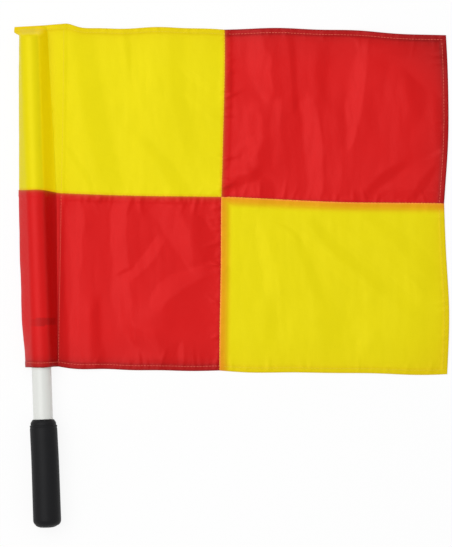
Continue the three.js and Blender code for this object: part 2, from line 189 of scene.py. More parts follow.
def edge(start, end, bows=(), peak=0, peak_width=1):
    """An edge of the cloth in plan: a chord with sine bows to its left, and a peak at its start."""
    start, end = np.array(start, float), np.array(end, float)
    chord = end - start
    size = np.hypot(*chord)
    side = np.array([-chord[1], chord[0]]) / size

    def at(along):
        along = np.asarray(along, float)[..., None]
        bow = sum(high * np.sin((i + 1) * math.pi * along) for i, high in enumerate(bows))
        return start + along * chord + (bow + peak * bump(along * size, peak_width)) * side

    return at, size


def bend(start, leave, end, arrive, count):
    """A smooth curve between two points that leaves and arrives along two vectors."""
    t = np.linspace(0, 1, count)[:, None]
    start, leave, end, arrive = (np.array(v, float) for v in (start, leave, end, arrive))
    return (
        (2 * t**3 - 3 * t**2 + 1) * start
        + (t**3 - 2 * t**2 + t) * leave
        + (3 * t**2 - 2 * t**3) * end
        + (t**3 - t**2) * arrive
    )


def normals(grid):
    """The way out of a surface at each point of its grid."""
    across = np.gradient(grid, axis=1)
    up = np.gradient(grid, axis=0)
    out = np.cross(across, up)
    return out / np.linalg.norm(out, axis=2, keepdims=True)


def piece_name(node):
    """The name of the piece that stands for a node of the CAD model."""
    staff = {
        "pole_tube": "staff_tube",
        "tip_plug": "staff_plug",
        "retaining_band": "staff_band",
        "grip": "rubber_grip",
    }
    return staff.get(node) or node.replace("_quarter", "_cloth").replace("_thread", "_stitches")


def add_object(node, points, faces, body, slot, material, marks=None, places=None, sharp=50):
    """Makes the piece that stands for a node of the CAD model and rides on its body.

    Its marks are numbers at its points that its material reads. Its places are where its points lie on the cloth or
    the thread as that was cut.
    """
    mesh = bpy.data.meshes.new(node)
    mesh.from_pydata((np.asarray(points) * MM).tolist(), [], [list(map(int, face)) for face in faces])
    if places is not None:
        layer = mesh.uv_layers.new(name="Cut")
        corner = np.empty(len(mesh.loops), int)
        mesh.loops.foreach_get("vertex_index", corner)
        layer.data.foreach_set("uv", (places[corner] * MM).astype(np.float32).ravel())
    for mark, values in (marks or {}).items():
        mesh.attributes.new(mark, "FLOAT", "POINT").data.foreach_set("value", values.astype(np.float32))
    mesh.shade_smooth()
    mesh.set_sharp_from_angle(angle=math.radians(sharp))
    mesh.validate()
    mesh.materials.append(material)
    piece = bpy.data.objects.new(piece_name(node), mesh)
    bpy.context.scene.collection.objects.link(piece)
    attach(piece, body)
    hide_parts(node)
    return piece


def slab(outer, inner, keep):
    """Points and faces of a closed sheet between two grids, where keep says which cells it has."""
    rows, columns = keep.shape
    over = np.arange((rows + 1) * (columns + 1)).reshape(rows + 1, columns + 1)
    under = over + over.size

    def corners(block):
        return [block[:-1, :-1], block[:-1, 1:], block[1:, 1:], block[1:, :-1]]

    faces = [np.stack([corner[keep] for corner in corners(over)], 1)]
    faces.append(np.stack([corner[keep] for corner in corners(under)][::-1], 1))
    padded = np.pad(keep, 1)
    beside = [padded[:-2, 1:-1], padded[1:-1, 2:], padded[2:, 1:-1], padded[1:-1, :-2]]
    for i, other in enumerate(beside):
        open_side = keep & ~other
        a, b = corners(over)[i], corners(over)[(i + 1) % 4]
        c, d = corners(under)[i], corners(under)[(i + 1) % 4]
        faces.append(np.stack([b[open_side], a[open_side], c[open_side], d[open_side]], 1))
    faces = np.concatenate(faces)
    used = np.unique(faces)
    renumber = np.zeros(2 * over.size, int)
    renumber[used] = np.arange(len(used))
    points = np.concatenate([outer.reshape(-1, 3), inner.reshape(-1, 3)])
    return points[used], renumber[faces], used


# The cut of the cloth, in millimetres on the table. Each edge has its start and end and its bows, and one has the
# height and width of a peak at its start.

CROSSING = (26.0, 340.5)
MIDDLE = (189.0, 331.3)
MOUTH = (17.1, 163.7)
SEAM_TOP, SEAM_BOTTOM = (198.0, 501.6), (181.3, 154.2)
FLY_TOP, FLY_MIDDLE, FLY_BOTTOM = (423.6, 488.4), (416.0, 316.9), (413.3, 142.7)
SLEEVE_TOP = (34.4, 513.1)
EDGES = {
    "hoist_top": edge(SLEEVE_TOP, SEAM_TOP, (3.3, 0.2, 0.5, 0.6, 0.3, -0.2), 8.0, 14),
    "fly_top": edge(SEAM_TOP, FLY_TOP, (2.6, 1.0, -0.1, 0.4, -0.1, -0.3)),
    "upper_fly": edge(FLY_MIDDLE, FLY_TOP, (-3.6, 0.0, 0.0, 0.1)),
    "lower_fly": edge(FLY_BOTTOM, FLY_MIDDLE, (-2.6, -0.9, 0.1, 0.1)),
    "fly_bottom": edge(SEAM_BOTTOM, FLY_BOTTOM, (-1.0, -0.2, -0.7, 0, -0.4)),
    "hoist_bottom": edge(MOUTH, SEAM_BOTTOM, (-1.9, -0.3, -0.5, -0.2, -0.4, -0.2)),
    "cross_hoist": edge(CROSSING, MIDDLE, (-0.9, -0.1)),
    "cross_fly": edge(MIDDLE, FLY_MIDDLE, (-1.8, 0.1, 0.2)),
    "upper_seam": edge(MIDDLE, SEAM_TOP, (-0.8, 0.2, -0.1)),
    "lower_seam": edge(SEAM_BOTTOM, MIDDLE, (-0.2, 0.2, 0.1)),
    "upper_stitch": edge(CROSSING, SLEEVE_TOP, (-0.4,)),
    "lower_stitch": edge(MOUTH, CROSSING, (0.1, 0.1)),
    "upper_loop": edge((-16.7, 345.1), (-10.8, 511.4), (0.3, -0.2)),
    "lower_loop": edge((-16.2, 164.0), (-16.9, 345.1), (1.7, 0.2, 0.1, -0.1, -0.2, -0.2)),
}
# How far a hem's stitching is from its inner edge
STITCHING_INSET = 1.3
# How far the sleeve's ends and its cross seam bow up where they go over the staff
HUMPS = {"top": -0.3, "cross": 1.7, "mouth": -0.6}

# The folds that the cloth holds. Each is a flat slope along a line of three places, with its width in millimetres at
# each of them, and how steep it is. A place is given across as a share of the quarter's width from its stitching or
# seam, and up as a share of the quarter's height. A slope above zero rises to the right of the line, seen from its
# first place to its last, and the others fall.
FOLDS = {
    "upper_fly_quarter": [
        ((0.19, 0.62), (0.135, 0.79), (0.1, 0.97), (14, 32, 28), 0.31),
        ((0.08, 0.16), (0.1, 0.36), (0.08, 0.51), (25, 33, 35), 0.25),
        ((0.03, 0.27), (0.09, 0.32), (0.15, 0.36), (5, 6, 5), 0.14),
        ((0.06, 0.16), (0.11, 0.24), (0.17, 0.3), (5, 7, 5), 0.14),
        ((0.0, 0.03), (0.07, 0.09), (0.15, 0.14), (8, 12, 10), -0.3),
        ((0.32, 0.53), (0.31, 0.74), (0.3, 0.95), (6, 6, 7), -0.21),
        ((0.42, 0.05), (0.4, 0.34), (0.37, 0.58), (15, 19, 15), 0.28),
        ((0.5, 0.06), (0.49, 0.3), (0.47, 0.52), (15, 18, 13), 0.09),
        ((0.44, 0.64), (0.44, 0.74), (0.46, 0.83), (8, 15, 23), -0.22),
        ((0.56, 0.32), (0.58, 0.57), (0.6, 0.96), (4, 17, 21), 0.24),
        ((0.6, 0.97), (0.83, 0.91), (1.02, 0.84), (16, 34, 46), -0.6),
        ((0.86, 0.8), (0.84, 0.9), (0.82, 1.0), (54, 64, 70), -0.17),
        ((0.87, 0.55), (0.86, 0.67), (0.82, 0.78), (13, 23, 8), -0.16),
        ((1.0, 0.3), (0.97, 0.5), (0.98, 0.9), (10, 14, 18), -0.2),
        ((0.66, 0.04), (0.8, 0.05), (0.95, 0.04), (8, 12, 12), -0.2),
        ((0.66, 0.07), (0.72, 0.14), (0.8, 0.22), (5, 12, 8), -0.26),
        ((0.85, 0.02), (0.9, 0.11), (0.94, 0.2), (5, 10, 5), -0.19),
        ((0.91, 0.27), (0.94, 0.29), (0.97, 0.31), (4, 5, 4), 0.23),
        ((0.03, 0.65), (0.03, 0.69), (0.03, 0.74), (5, 9, 5), -0.26),
        ((0.21, 0.02), (0.19, 0.09), (0.14, 0.15), (14, 16, 8), -0.24),
        ((0.24, 0.2), (0.23, 0.4), (0.24, 0.58), (8, 10, 8), 0.11),
        ((0.74, 0.42), (0.76, 0.62), (0.78, 0.8), (20, 32, 20), 0.06),
    ],
    "lower_hoist_quarter": [
        ((0.02, -0.04), (0.02, 0.3), (0.01, 0.75), (16, 12, 7), -0.42),
        ((0.09, 0.04), (0.09, 0.41), (0.085, 0.91), (6, 9, 19), 0.2),
        ((0.38, 0.61), (0.36, 0.77), (0.36, 0.97), (15, 16, 16), 0.22),
        ((0.42, 0.17), (0.385, 0.38), (0.375, 0.58), (17, 19, 17), 0.24),
        ((0.6, 0.05), (0.52, 0.15), (0.44, 0.22), (14, 15, 16), 0.22),
        ((0.64, 0.04), (0.59, 0.13), (0.55, 0.22), (12, 14, 9), 0.14),
        ((0.44, 0.54), (0.53, 0.63), (0.62, 0.75), (8, 11, 10), 0.2),
        ((0.81, 0.59), (0.74, 0.76), (0.62, 0.94), (4, 21, 23), 0.19),
        ((0.6, 0.36), (0.7, 0.49), (0.98, 0.6), (13, 20, 9), 0.16),
        ((0.76, 0.05), (0.76, 0.1), (0.76, 0.15), (4, 7, 4), 0.23),
        ((0.93, 0.84), (0.91, 0.87), (0.88, 0.89), (3, 5, 3), 0.23),
        ((0.27, 0.0), (0.26, 0.12), (0.24, 0.33), (20, 20, 12), -0.38),
        ((0.93, 0.62), (0.9, 0.75), (0.87, 0.87), (15, 23, 15), -0.18),
        ((0.37, 0.55), (0.41, 0.57), (0.44, 0.58), (4, 5, 3), -0.33),
        ((0.55, 0.24), (0.78, 0.2), (1.0, 0.18), (30, 54, 60), -0.16),
        ((0.78, 0.0), (0.78, 0.2), (0.8, 0.4), (70, 70, 44), -0.17),
        ((0.35, 0.02), (0.6, 0.03), (0.9, 0.02), (10, 12, 10), -0.24),
    ],
    "upper_hoist_quarter": [
        ((0.33, 0.03), (0.23, 0.38), (0.12, 0.96), (24, 26, 24), -0.15),
        ((0.81, 0.29), (0.73, 0.56), (0.7, 0.93), (17, 18, 16), -0.09),
        ((0.76, 0.02), (0.6, 0.24), (0.43, 0.38), (17, 13, 8), -0.15),
        ((0.41, 0.77), (0.4, 0.88), (0.39, 0.97), (4, 6, 7), -0.18),
        ((0.5, 0.35), (0.47, 0.62), (0.47, 0.9), (34, 40, 40), 0.06),
        ((0.97, 0.61), (0.85, 0.68), (0.74, 0.75), (5, 8, 5), 0.14),
        ((0.98, 0.43), (0.87, 0.5), (0.76, 0.6), (5, 8, 5), 0.11),
        ((0.2, 0.03), (0.1, 0.18), (0.03, 0.27), (6, 7, 4), -0.1),
    ],
    "lower_fly_quarter": [
        ((0.23, 0.45), (0.21, 0.62), (0.17, 0.83), (15, 15, 8), 0.08),
        ((0.43, 0.45), (0.39, 0.61), (0.35, 0.74), (10, 11, 7), -0.1),
        ((0.35, 0.77), (0.3, 0.83), (0.23, 0.87), (4, 5, 4), -0.14),
        ((0.65, 0.47), (0.49, 0.65), (0.37, 0.79), (18, 15, 8), 0.1),
        ((0.7, 0.52), (0.53, 0.7), (0.41, 0.88), (13, 14, 9), -0.13),
        ((0.87, 0.47), (0.65, 0.71), (0.48, 0.86), (13, 11, 8), 0.13),
        ((0.94, 0.61), (0.81, 0.77), (0.68, 0.9), (15, 16, 10), -0.12),
        ((0.48, 0.19), (0.48, 0.31), (0.47, 0.41), (15, 33, 18), -0.1),
        ((0.0, 0.05), (0.5, 0.04), (1.0, 0.06), (40, 48, 56), -0.07),
        ((0.93, 0.1), (0.93, 0.4), (0.95, 0.85), (34, 30, 26), -0.06),
        ((0.62, 0.16), (0.62, 0.24), (0.62, 0.3), (15, 23, 15), 0.08),
        ((0.22, 0.19), (0.22, 0.3), (0.21, 0.39), (10, 15, 10), -0.08),
        ((0.85, 0.36), (0.8, 0.42), (0.73, 0.46), (13, 15, 8), -0.1),
    ],
}

# How strongly the stitching gathers the cloth to the left and to the right of each edge
PUCKERS = {
    "hoist_top": (0, 0.6),
    "fly_top": (0, 1),
    "upper_fly": (1, 0),
    "lower_fly": (0.5, 0),
    "fly_bottom": (0.6, 0),
    "hoist_bottom": (1.2, 0),
    "cross_hoist": (0.35, 1.1),
    "cross_fly": (0.9, 0.4),
    "upper_seam": (0.3, 1.1),
    "lower_seam": (0.7, 0.3),
}


# Each quarter has its left, right, bottom and top edge, what is done to the cloth there, the free side of its part
# of the sleeve, the humps at that part's two ends, and its slot. A hem is turned in twice. At a seam one quarter is
# rolled over its allowance and the other is tucked under it.
QUARTERS = {
    "upper_hoist_quarter": (
        ("upper_stitch", "upper_seam", "cross_hoist", "hoist_top"),
        ("sleeve", "tucked", "tucked", "hem"),
        "upper_loop",
        (HUMPS["cross"], HUMPS["top"]),
        "yellow_cloth",
    ),
    "upper_fly_quarter": (
        ("upper_seam", "upper_fly", "cross_fly", "fly_top"),
        ("rolled", "hem", "tucked", "hem"),
        None,
        None,
        "red_cloth",
    ),
    "lower_hoist_quarter": (
        ("lower_stitch", "lower_seam", "hoist_bottom", "cross_hoist"),
        ("sleeve", "tucked", "hem", "rolled"),
        "lower_loop",
        (HUMPS["mouth"], HUMPS["cross"]),
        "red_cloth",
    ),
    "lower_fly_quarter": (
        ("lower_seam", "lower_fly", "fly_bottom", "cross_fly"),
        ("rolled", "hem", "hem", "rolled"),
        None,
        None,
        "yellow_cloth",
    ),
}

# The quarters once they are made, for the stitching to follow
made = {}

# What a quarter's mesh tells its material, with where shade and light are painted on it
MARKS = ("lining", "fold_edge", "doubled", "ditch", "slope", "raised", "stripe")


def coons(edges, s, t):
    """Places in plan for shares across and up between four edges: left, right, bottom and top."""
    left, right, bottom, top = (EDGES[name][0] for name in edges)
    s, t = np.asarray(s, float), np.asarray(t, float)
    across, up = s[..., None], t[..., None]
    sides = (1 - across) * left(t) + across * right(t) + (1 - up) * bottom(s) + up * top(s)
    corners = (1 - across) * (1 - up) * bottom(0.0) + across * (1 - up) * bottom(1.0)
    return sides - corners - (1 - across) * up * top(0.0) - across * up * top(1.0)


def beside(x, y, line):
    """Each place's nearest share of a line, how far to the right of the line it is, and the way right there."""
    steps = len(line) - 1
    far, along, right = np.full(x.shape, np.inf), np.zeros(x.shape), np.zeros(x.shape)
    way = np.zeros((2, *x.shape))
    for i, (start, step) in enumerate(zip(line, np.diff(line, axis=0))):
        on = ((x - start[0]) * step[0] + (y - start[1]) * step[1]) / (step @ step)
        on = np.clip(on, -np.inf if i == 0 else 0, np.inf if i == steps - 1 else 1)
        dx, dy = x - start[0] - on * step[0], y - start[1] - on * step[1]
        away = np.hypot(dx, dy)
        nearer = away < far
        far = np.where(nearer, away, far)
        along = np.where(nearer, (i + on) / steps, along)
        right = np.where(nearer, np.sign(step[1] * dx - step[0] * dy) * away, right)
        way = np.where(nearer, np.array([step[1], -step[0]])[:, None, None] / np.hypot(*step), way)
    return along, right, way


def strip(x, y, places, widths, soft):
    """The way across a strip along a curve through three places, at its full size inside and nothing outside.

    The strip's two sides and its strength wander along it, because no fold of cloth is even.
    """
    # How far its sides wander as a share of half its width, and over how many millimetres they and its strength do
    wander_share, side_period, strength_period = 0.35, 24, 40
    first, middle, last = places
    seed = int(first[0] * 7 + last[1] * 13)
    control = 2 * middle - (first + last) / 2
    t = np.linspace(0, 1, 13)[:, None]
    line = (1 - t) ** 2 * first + 2 * t * (1 - t) * control + t**2 * last
    along, right, way = beside(x, y, line)
    size = np.linalg.norm(np.diff(line, axis=0), axis=1).sum()
    past = np.maximum(np.maximum(-along, along - 1), 0) * size
    half = np.interp(along, [0, 0.5, 1], widths) / 2
    wander = wander_share * half
    low = -half + wander * (waves(along * size, side_period, seed) - 0.5)
    high = half + wander * (waves(along * size, side_period, seed + 1) - 0.5)
    inside = ease((high - right) / soft + 0.5) * ease((right - low) / soft + 0.5) * ease(1 - past / (1.5 * soft))
    return way * inside * (0.75 + 0.5 * waves(along * size, strength_period, seed + 2))


class Relief:
    """How far the cloth stands up from the table: one surface that all four quarters follow."""

    # In millimetres: the distance between its points, how far it goes on past the cloth, and how far a slope is felt
    pitch, margin, reach = 0.8, 40, 25
    # How closely it keeps to the slopes that run up the cloth, against those that run across it
    upright_share = 0.4
    # The percentage of the cloth that lies on the table, and over how many millimetres it comes to rest there
    resting, soft_rest = 5, 0.8
    # How much the streaks change the folds' slopes, and how steep they are themselves
    streak_share, streak_slope = 0.15, 0.02

    def __init__(self, depth, pucker):
        self.x = np.arange(MOUTH[0] - self.margin, FLY_TOP[0] + self.margin, self.pitch)
        self.y = np.arange(FLY_BOTTOM[1] - self.margin, SLEEVE_TOP[1] + self.margin, self.pitch)
        self.high = depth * self.surface(self.slopes())
        self.gather(pucker)
        self.lay_down()

    def slopes(self):
        """How steep the cloth is across and up at each point, from its folds and its streaks."""
        slope = np.zeros((2, len(self.y), len(self.x)))
        for name, folds in FOLDS.items():
            for *shares, widths, steep in folds:
                places = [coons(QUARTERS[name][0], *place) for place in shares]
                soft = max(2, (0.2 if steep > 0 else 0.5) * max(widths))
                rows, columns = self.window(places, max(widths) / 2 + 2 * soft)
                x, y = np.meshgrid(self.x[columns], self.y[rows])
                slope[:, rows, columns] += steep * strip(x, y, places, widths, soft)
        streaks = self.streaks()
        slope = slope * (1 + self.streak_share * streaks)
        slope[0] += self.streak_slope * streaks
        return slope

    def lay_down(self):
        """Lets the cloth's lowest parts lie flat on the table."""
        rows = (self.y > FLY_BOTTOM[1]) & (self.y < SLEEVE_TOP[1])
        columns = (self.x > CROSSING[0]) & (self.x < FLY_TOP[0])
        above = self.high - np.percentile(self.high[np.ix_(rows, columns)], self.resting)
        self.high = (above + np.sqrt(above**2 + self.soft_rest**2)) / 2

    def window(self, places, around):
        """The rows and columns of the surface that lie within a distance of some places."""
        low, high = np.min(places, axis=0) - around, np.max(places, axis=0) + around
        rows = slice(*np.searchsorted(self.y, (low[1], high[1])))
        return rows, slice(*np.searchsorted(self.x, (low[0], high[0])))

    def surface(self, slope):
        """The surface whose slope comes closest to the slope asked for, and that stays level over its reach."""
        across, up = self.turns()
        stiffness = across**2 + self.upright_share * up**2 + 1 / self.reach**2
        asked = across * np.fft.fft2(slope[0]) + self.upright_share * up * np.fft.fft2(slope[1])
        return np.real(np.fft.ifft2(-1j * asked / stiffness))

    def turns(self):
        """How fast each wave of the surface turns across and up, in radians for each millimetre."""
        across = 2 * math.pi * np.fft.fftfreq(len(self.x), self.pitch)[None]
        return across, 2 * math.pi * np.fft.fftfreq(len(self.y), self.pitch)[:, None]

    def streaks(self, wide=1.5, long=8):
        """Fine uneven streaks along the cloth's threads, about zero and with a spread of one."""
        across, up = self.turns()
        grain = np.random.default_rng(11).normal(size=(len(self.y), len(self.x)))
        kept = np.exp(-((across * wide) ** 2 + (up * long) ** 2) / 2)
        streaks = np.real(np.fft.ifft2(kept * np.fft.fft2(grain)))
        return np.clip(streaks / streaks.std(), -2, 2)

    def gather(self, pucker):
        """Adds the short creases that run off each line of stitching, uneven in length, width, height and way."""
        draw = np.random.default_rng(3)
        for name, strengths in PUCKERS.items():
            at, size = EDGES[name]
            upright = abs(at(1.0) - at(0.0))[1] / size
            for side, strength in zip((1, -1), strengths):
                place = draw.uniform(0, 8)
                while strength and place < size:
                    start, ahead = at(place / size), at(place / size + 0.01)
                    way = math.atan2(*(ahead - start)[::-1]) + side * math.radians(90 + draw.normal(0, 16))
                    long = (5 + 20 * draw.uniform() ** 2) * (0.5 + 0.5 * strength)
                    wide = draw.uniform(1.1, 2.4)
                    high = pucker * strength * draw.uniform(0.3, 1) * wide * (1 + 0.8 * upright)
                    self.crease(start, way, long, wide, high)
                    place += draw.uniform(2, 9)

    def crease(self, start, way, long, wide, high):
        """Adds one crease: low at the stitching, highest a few millimetres off it, and dying out along its way."""
        rows, columns = self.window([start], long + 4)
        x, y = np.meshgrid(self.x[columns] - start[0], self.y[rows] - start[1])
        along = x * math.cos(way) + y * math.sin(way)
        side = y * math.cos(way) - x * math.sin(way)
        fade = np.clip(1 - np.abs(along) / long, 0, 1) * (0.25 + 0.75 * ease(along / 5))
        self.high[rows, columns] += high * fade * bump(np.minimum(along, 0), 2.5) * bump(side, wide)

    def at(self, x, y):
        """The height at any place, from the four points round it."""
        across = np.clip((x - self.x[0]) / self.pitch, 0, len(self.x) - 1.001)
        up = np.clip((y - self.y[0]) / self.pitch, 0, len(self.y) - 1.001)
        i, j = across.astype(int), up.astype(int)
        a, b = across - i, up - j
        low = self.high[j, i] * (1 - a) + self.high[j, i + 1] * a
        return low * (1 - b) + (self.high[j + 1, i] * (1 - a) + self.high[j + 1, i + 1] * a) * b


def lines(size, low, high, pitch):
    """Shares along a side: close lines at its two ends, which are given by their distance, and even ones between."""
    count = max(2, round((size - low[-1] - high[-1]) / pitch))
    even = np.linspace(low[-1], size - high[-1], count + 1)[1:-1]
    return np.concatenate([low, even, size - np.array(high)[::-1]]) / size


class Quarter:
    """One quarter of the cloth as a closed sheet, with the part of the sleeve that it may have."""

    # The sleeve's section: the angles at which it leaves the staff to its free side and to its slope
    tent = np.radians([150, 24])
    # The points of its back, its turn at the free side, that side, the tent over the staff, its slope and its foot
    counts = (14, 7, 14, 22, 18, 6)
    # How far to the right of the stitching the points lie at the end of its back, which is turned over on itself
    back_end = (1.3, 0.9, -2, -4.6, -5.1)
    # How far its bends keep their way at their ends: round the turn for each millimetre of its loop, then in
    # millimetres up from the turn, to the staff, from the staff down the slope and along the table
    turn_pull, free_pull, tent_pull, slope_pull, foot_pull = 1.6, 9, 11, 21, 5
    # How far the sleeve's closed end stands off the table over the staff
    arch = 5

    def __init__(self, name, relief):
        self.name, self.relief = name, relief
        self.edges, self.kinds, self.loop, self.humps, self.slot = QUARTERS[name]
        self.red = self.slot == "red_cloth"
        self.wide, self.tall = (
            (EDGES[first][1] + EDGES[second][1]) / 2 for first, second in (self.edges[2:], self.edges[:2])
        )
        cloth = bpy.context.scene.flag_cloth
        self.layer, self.hem, self.turn = cloth.thickness / MM, cloth.hem / MM, cloth.allowance / MM
        self.pitch, self.pucker = cloth.pitch / MM, cloth.pucker / MM
        self.closed_top = bool(self.loop) and self.kinds[3] == "hem"
        self.shape()

    def near(self, kind):
        """Distances from an edge at which the mesh has close lines."""
        if kind == "hem":
            stitching = self.hem - STITCHING_INSET
            return [0, 0.25, 0.7, 1.6, 3.2, stitching, self.hem - 0.6, self.hem, self.hem + 1]
        if kind == "rolled":
            return [0, 0.2, 0.5, 1, 2, 3.6, 5.2, self.turn - 0.8, self.turn, self.turn + 0.8]
        if kind == "tucked":
            return [-self.turn, -self.turn + 0.3, -4.5, -2.2, -0.6, 0, 0.3, 1, 2.2]
        return [0, 0.5, 1.3, 1.9]

    def shape(self):
        """Lays the quarter's surface, and then its two faces at their heights over it."""
        left, right, bottom, top = self.kinds
        # The mesh has close lines, too, where the sleeve closes
        closed_end = list(np.arange(8, 18, 0.9)) if self.closed_top else []
        rows = lines(self.tall, self.near(bottom), self.near(top) + closed_end, self.pitch)
        columns = lines(self.wide, self.near(left), self.near(right), self.pitch)
        s, t = np.meshgrid(columns, rows)
        base = np.concatenate([coons(self.edges, s, t), np.full(s.shape + (1,), CLOTH_LEVEL)], axis=2)
        self.across, self.up, self.front = s * self.wide, t * self.tall, np.ones(s.shape)
        self.open_from = 0
        if self.loop:
            base = self.with_sleeve(base, rows)
        base[..., 2] += self.lift(base)
        base = base + normals(base) * (self.softness() * self.front)[..., None]
        self.normal = normals(base)
        under, over = self.layers()
        self.outer = base + self.normal * (over * self.front)[..., None]
        self.inner = base + self.normal * (under * self.front - (over - under) * (1 - self.front))[..., None]

    def with_sleeve(self, base, rows):
        """Puts the sleeve before every row, so that its points go round the staff before they come to the front."""
        sleeve = bpy.context.scene.flag_sleeve
        self.landing = (sleeve.landing + sleeve.spread) / MM
        back, turn = self.counts[:2]
        on_back = len(self.back_end) + back - 1
        # Each stretch starts at the last point of the one before it, and the foot stops short of the stitching
        added = len(self.back_end) + sum(self.counts) - len(self.counts) - 1
        front = np.ones(added)
        front[:on_back] = 0
        front[on_back : on_back + turn - 1] = ease(np.linspace(0, 1, turn - 1))
        stitching, free_side = base[:, 0, :2], EDGES[self.loop][0](rows)
        sections = [self.section(*row, front) for row in zip(rows, stitching, free_side)]
        steps = np.diff(np.concatenate([sections, base[:, :1]], axis=1)[..., [0, 2]], axis=1)
        distances = -np.cumsum(np.hypot(steps[..., 0], steps[..., 1])[:, ::-1], axis=1)[:, ::-1]
        self.across = np.concatenate([distances, self.across], axis=1)
        self.up = np.concatenate([np.repeat(self.up[:, :1], added, axis=1), self.up], axis=1)
        self.front = np.concatenate([np.repeat(front[None], len(rows), axis=0), self.front], axis=1)
        self.open_from = added
        return np.concatenate([sections, base], axis=1)

    def section(self, share, stitch, free, front):
        """The sleeve at one row: from its back's end round its free side and over the staff to its stitching."""
        sleeve = bpy.context.scene.flag_sleeve
        room, loop = sleeve.room / MM, sleeve.loop / MM
        (x_stitch, y_stitch), (x_free, y_free) = stitch, free
        if self.closed_top:
            x_free -= sleeve.ear / MM * ease((y_free - TIP - 2.2) / 4)
        # It spreads most beside the cross seam, not at all at its mouth, and a little at its closed end
        spread = min(share, 1) if self.kinds[2] == "hem" else 1 - 0.8 * max(share, 0) + 1.5 * min(share, 0)
        land = min((sleeve.landing + spread * sleeve.spread) / MM, x_stitch - 0.8)
        low = CLOTH_LEVEL
        back, turn, side, tent, slope, foot = self.counts
        circle = room * np.stack([f(np.linspace(*self.tent, tent)) for f in (np.cos, np.sin)], 1)
        leave, land_way = ([math.sin(angle), -math.cos(angle)] for angle in self.tent)
        back_x = [x_stitch + past for past in self.back_end]
        back_x += list(np.linspace(back_x[-1], x_free + loop, back)[1:])
        pull = self.turn_pull * loop
        turned = bend((x_free + loop, low), (-pull, 0), (x_free, low + loop), (0, pull), turn)
        free_side = bend((x_free, low + loop), (0, self.free_pull), circle[0], self.tent_pull * np.array(leave), side)
        down = bend(circle[-1], self.slope_pull * np.array(land_way), (land, low), (self.foot_pull, 0), slope)
        flat = np.stack([np.linspace(land, x_stitch, foot), np.full(foot, low)], 1)
        backed = np.stack([back_x, np.full(len(back_x), low)], 1)
        x, z = np.concatenate([backed, turned[1:], free_side[1:], circle[1:], down[1:], flat[1:-1]]).T
        toward = np.clip((x_stitch - x) / (x_stitch - x_free), -0.1, 1)
        hump = self.humps[0] * (1 - share) + self.humps[1] * share
        y = y_stitch + toward * (y_free - y_stitch) + hump * np.sin(math.pi * np.clip(toward, 0, 1)) ** 2
        if self.closed_top:
            open_share = ease((TIP + 11 - y) / 10)
            closed = self.arch * bump(x, 10) + front * 2 * self.layer
            z = low + (z - low) * open_share + closed * (1 - open_share)
        return np.stack([x, y, z], 1)

    def sides(self):
        """Each side's kind, with the distance of every point from it."""
        left, right, bottom, top = self.kinds
        return [(left, self.across), (right, self.wide - self.across), (bottom, self.up), (top, self.tall - self.up)]

    def lift(self, base):
        """How far the cloth stands up from the table. The sleeve's foot is lifted with the cloth beside it."""
        high = self.relief.at(base[..., 0], base[..., 1])
        for kind, far in self.sides():
            if kind == "hem":
                high = high * (0.75 + 0.25 * ease(far / 60))
        stitched = self.open_from
        if stitched:
            at_stitching = base[:, stitched : stitched + 1, 0]
            level = np.maximum(at_stitching - self.landing, 1)
            past = np.maximum(at_stitching - base[:, :stitched, 0] - level, 0)
            high[:, :stitched] = high[:, stitched : stitched + 1] * np.exp(-past / 9)
        return high

    def cut(self):
        """The width and height in metres that the quarter was cut to, with its hems, its seams and the sleeve."""
        turned_in = {"hem": 2 * self.hem, "rolled": self.turn, "tucked": self.turn, "sleeve": self.turn}
        left, right, bottom, top = (turned_in[kind] for kind in self.kinds)
        round_staff = -self.across[:, 0].mean() if self.loop else 0
        return (self.wide + round_staff + left + right) * MM, (self.tall + bottom + top) * MM

    def softness(self):
        """The slight waves of the sleeve, which die out at its seams and hems, and its puckers at the stitching."""
        across, up = self.across, self.up
        if not self.loop:
            return np.zeros(across.shape)
        soft = 0.3 * waves(up + 0.4 * across, 26, 31) * np.clip(-across / 6, 0, 1)
        for kind, far in self.sides():
            if kind != "sleeve":
                soft = soft * ease(np.abs(far) / 11)
        return soft + self.pucker * 0.3 * np.exp(-np.abs(across) / 5) * waves(up + 0.3 * across, 7, 5)

    def layers(self):
        """The heights of the cloth's two faces over the surface that it lies on."""
        under, thick, edge_share = np.zeros(self.across.shape), *np.ones((2, *self.across.shape))
        for kind, far in self.sides():
            if kind == "hem":
                thick = np.maximum(thick, 1 + 2 * (1 - ease((far - self.hem + 1) / 1.6)))
                edge_share = np.minimum(edge_share, rounding(far / 0.8, least=0.02))
            if kind == "rolled":
                band = 1 - ease((far - self.turn + 1.5) / 3)
                thick = np.maximum(thick, 1 + band)
                under = np.maximum(under, 1.5 * self.layer * band)
                edge_share = np.minimum(edge_share, 0.3 + 0.7 * rounding(far / 0.7))
            if kind == "sleeve":
                over_back = ease((far + 16) / 12) * fall(far, 1.3, 2.5)
                under = np.maximum(under, 2.2 * self.layer * over_back)
                # The end of the sleeve's back is turned over on itself
                thick[:, 1:4] = np.maximum(thick[:, 1:4], 2)
        return under, under + thick * self.layer * edge_share

    def kept(self):
        """The cells that the sheet has. What is tucked under a neighbour stops at corners and under the sleeve."""

        def middles(grid):
            return (grid[:-1, :-1] + grid[1:, 1:] + grid[:-1, 1:] + grid[1:, :-1]) / 4

        across, up, front = middles(self.across), middles(self.up), middles(self.front)
        keep = np.ones(across.shape, bool)
        _, right, bottom, _ = self.kinds
        if right == "tucked":
            keep &= (across < self.wide) | ((up > self.hem + 1) & (up < self.tall - self.turn - 1))
        if bottom == "tucked":
            past_left = (across > self.turn + 1.5) | bool(self.loop)
            keep &= (up > 0) | (past_left & (across < self.wide - 8) & (front > 0.99))
        return keep

    def marks(self):
        """What the material reads at each point: what shows through, two layers of cloth, and painted shade and
        light.
        """
        marks = {name: np.zeros(self.across.shape) for name in MARKS}

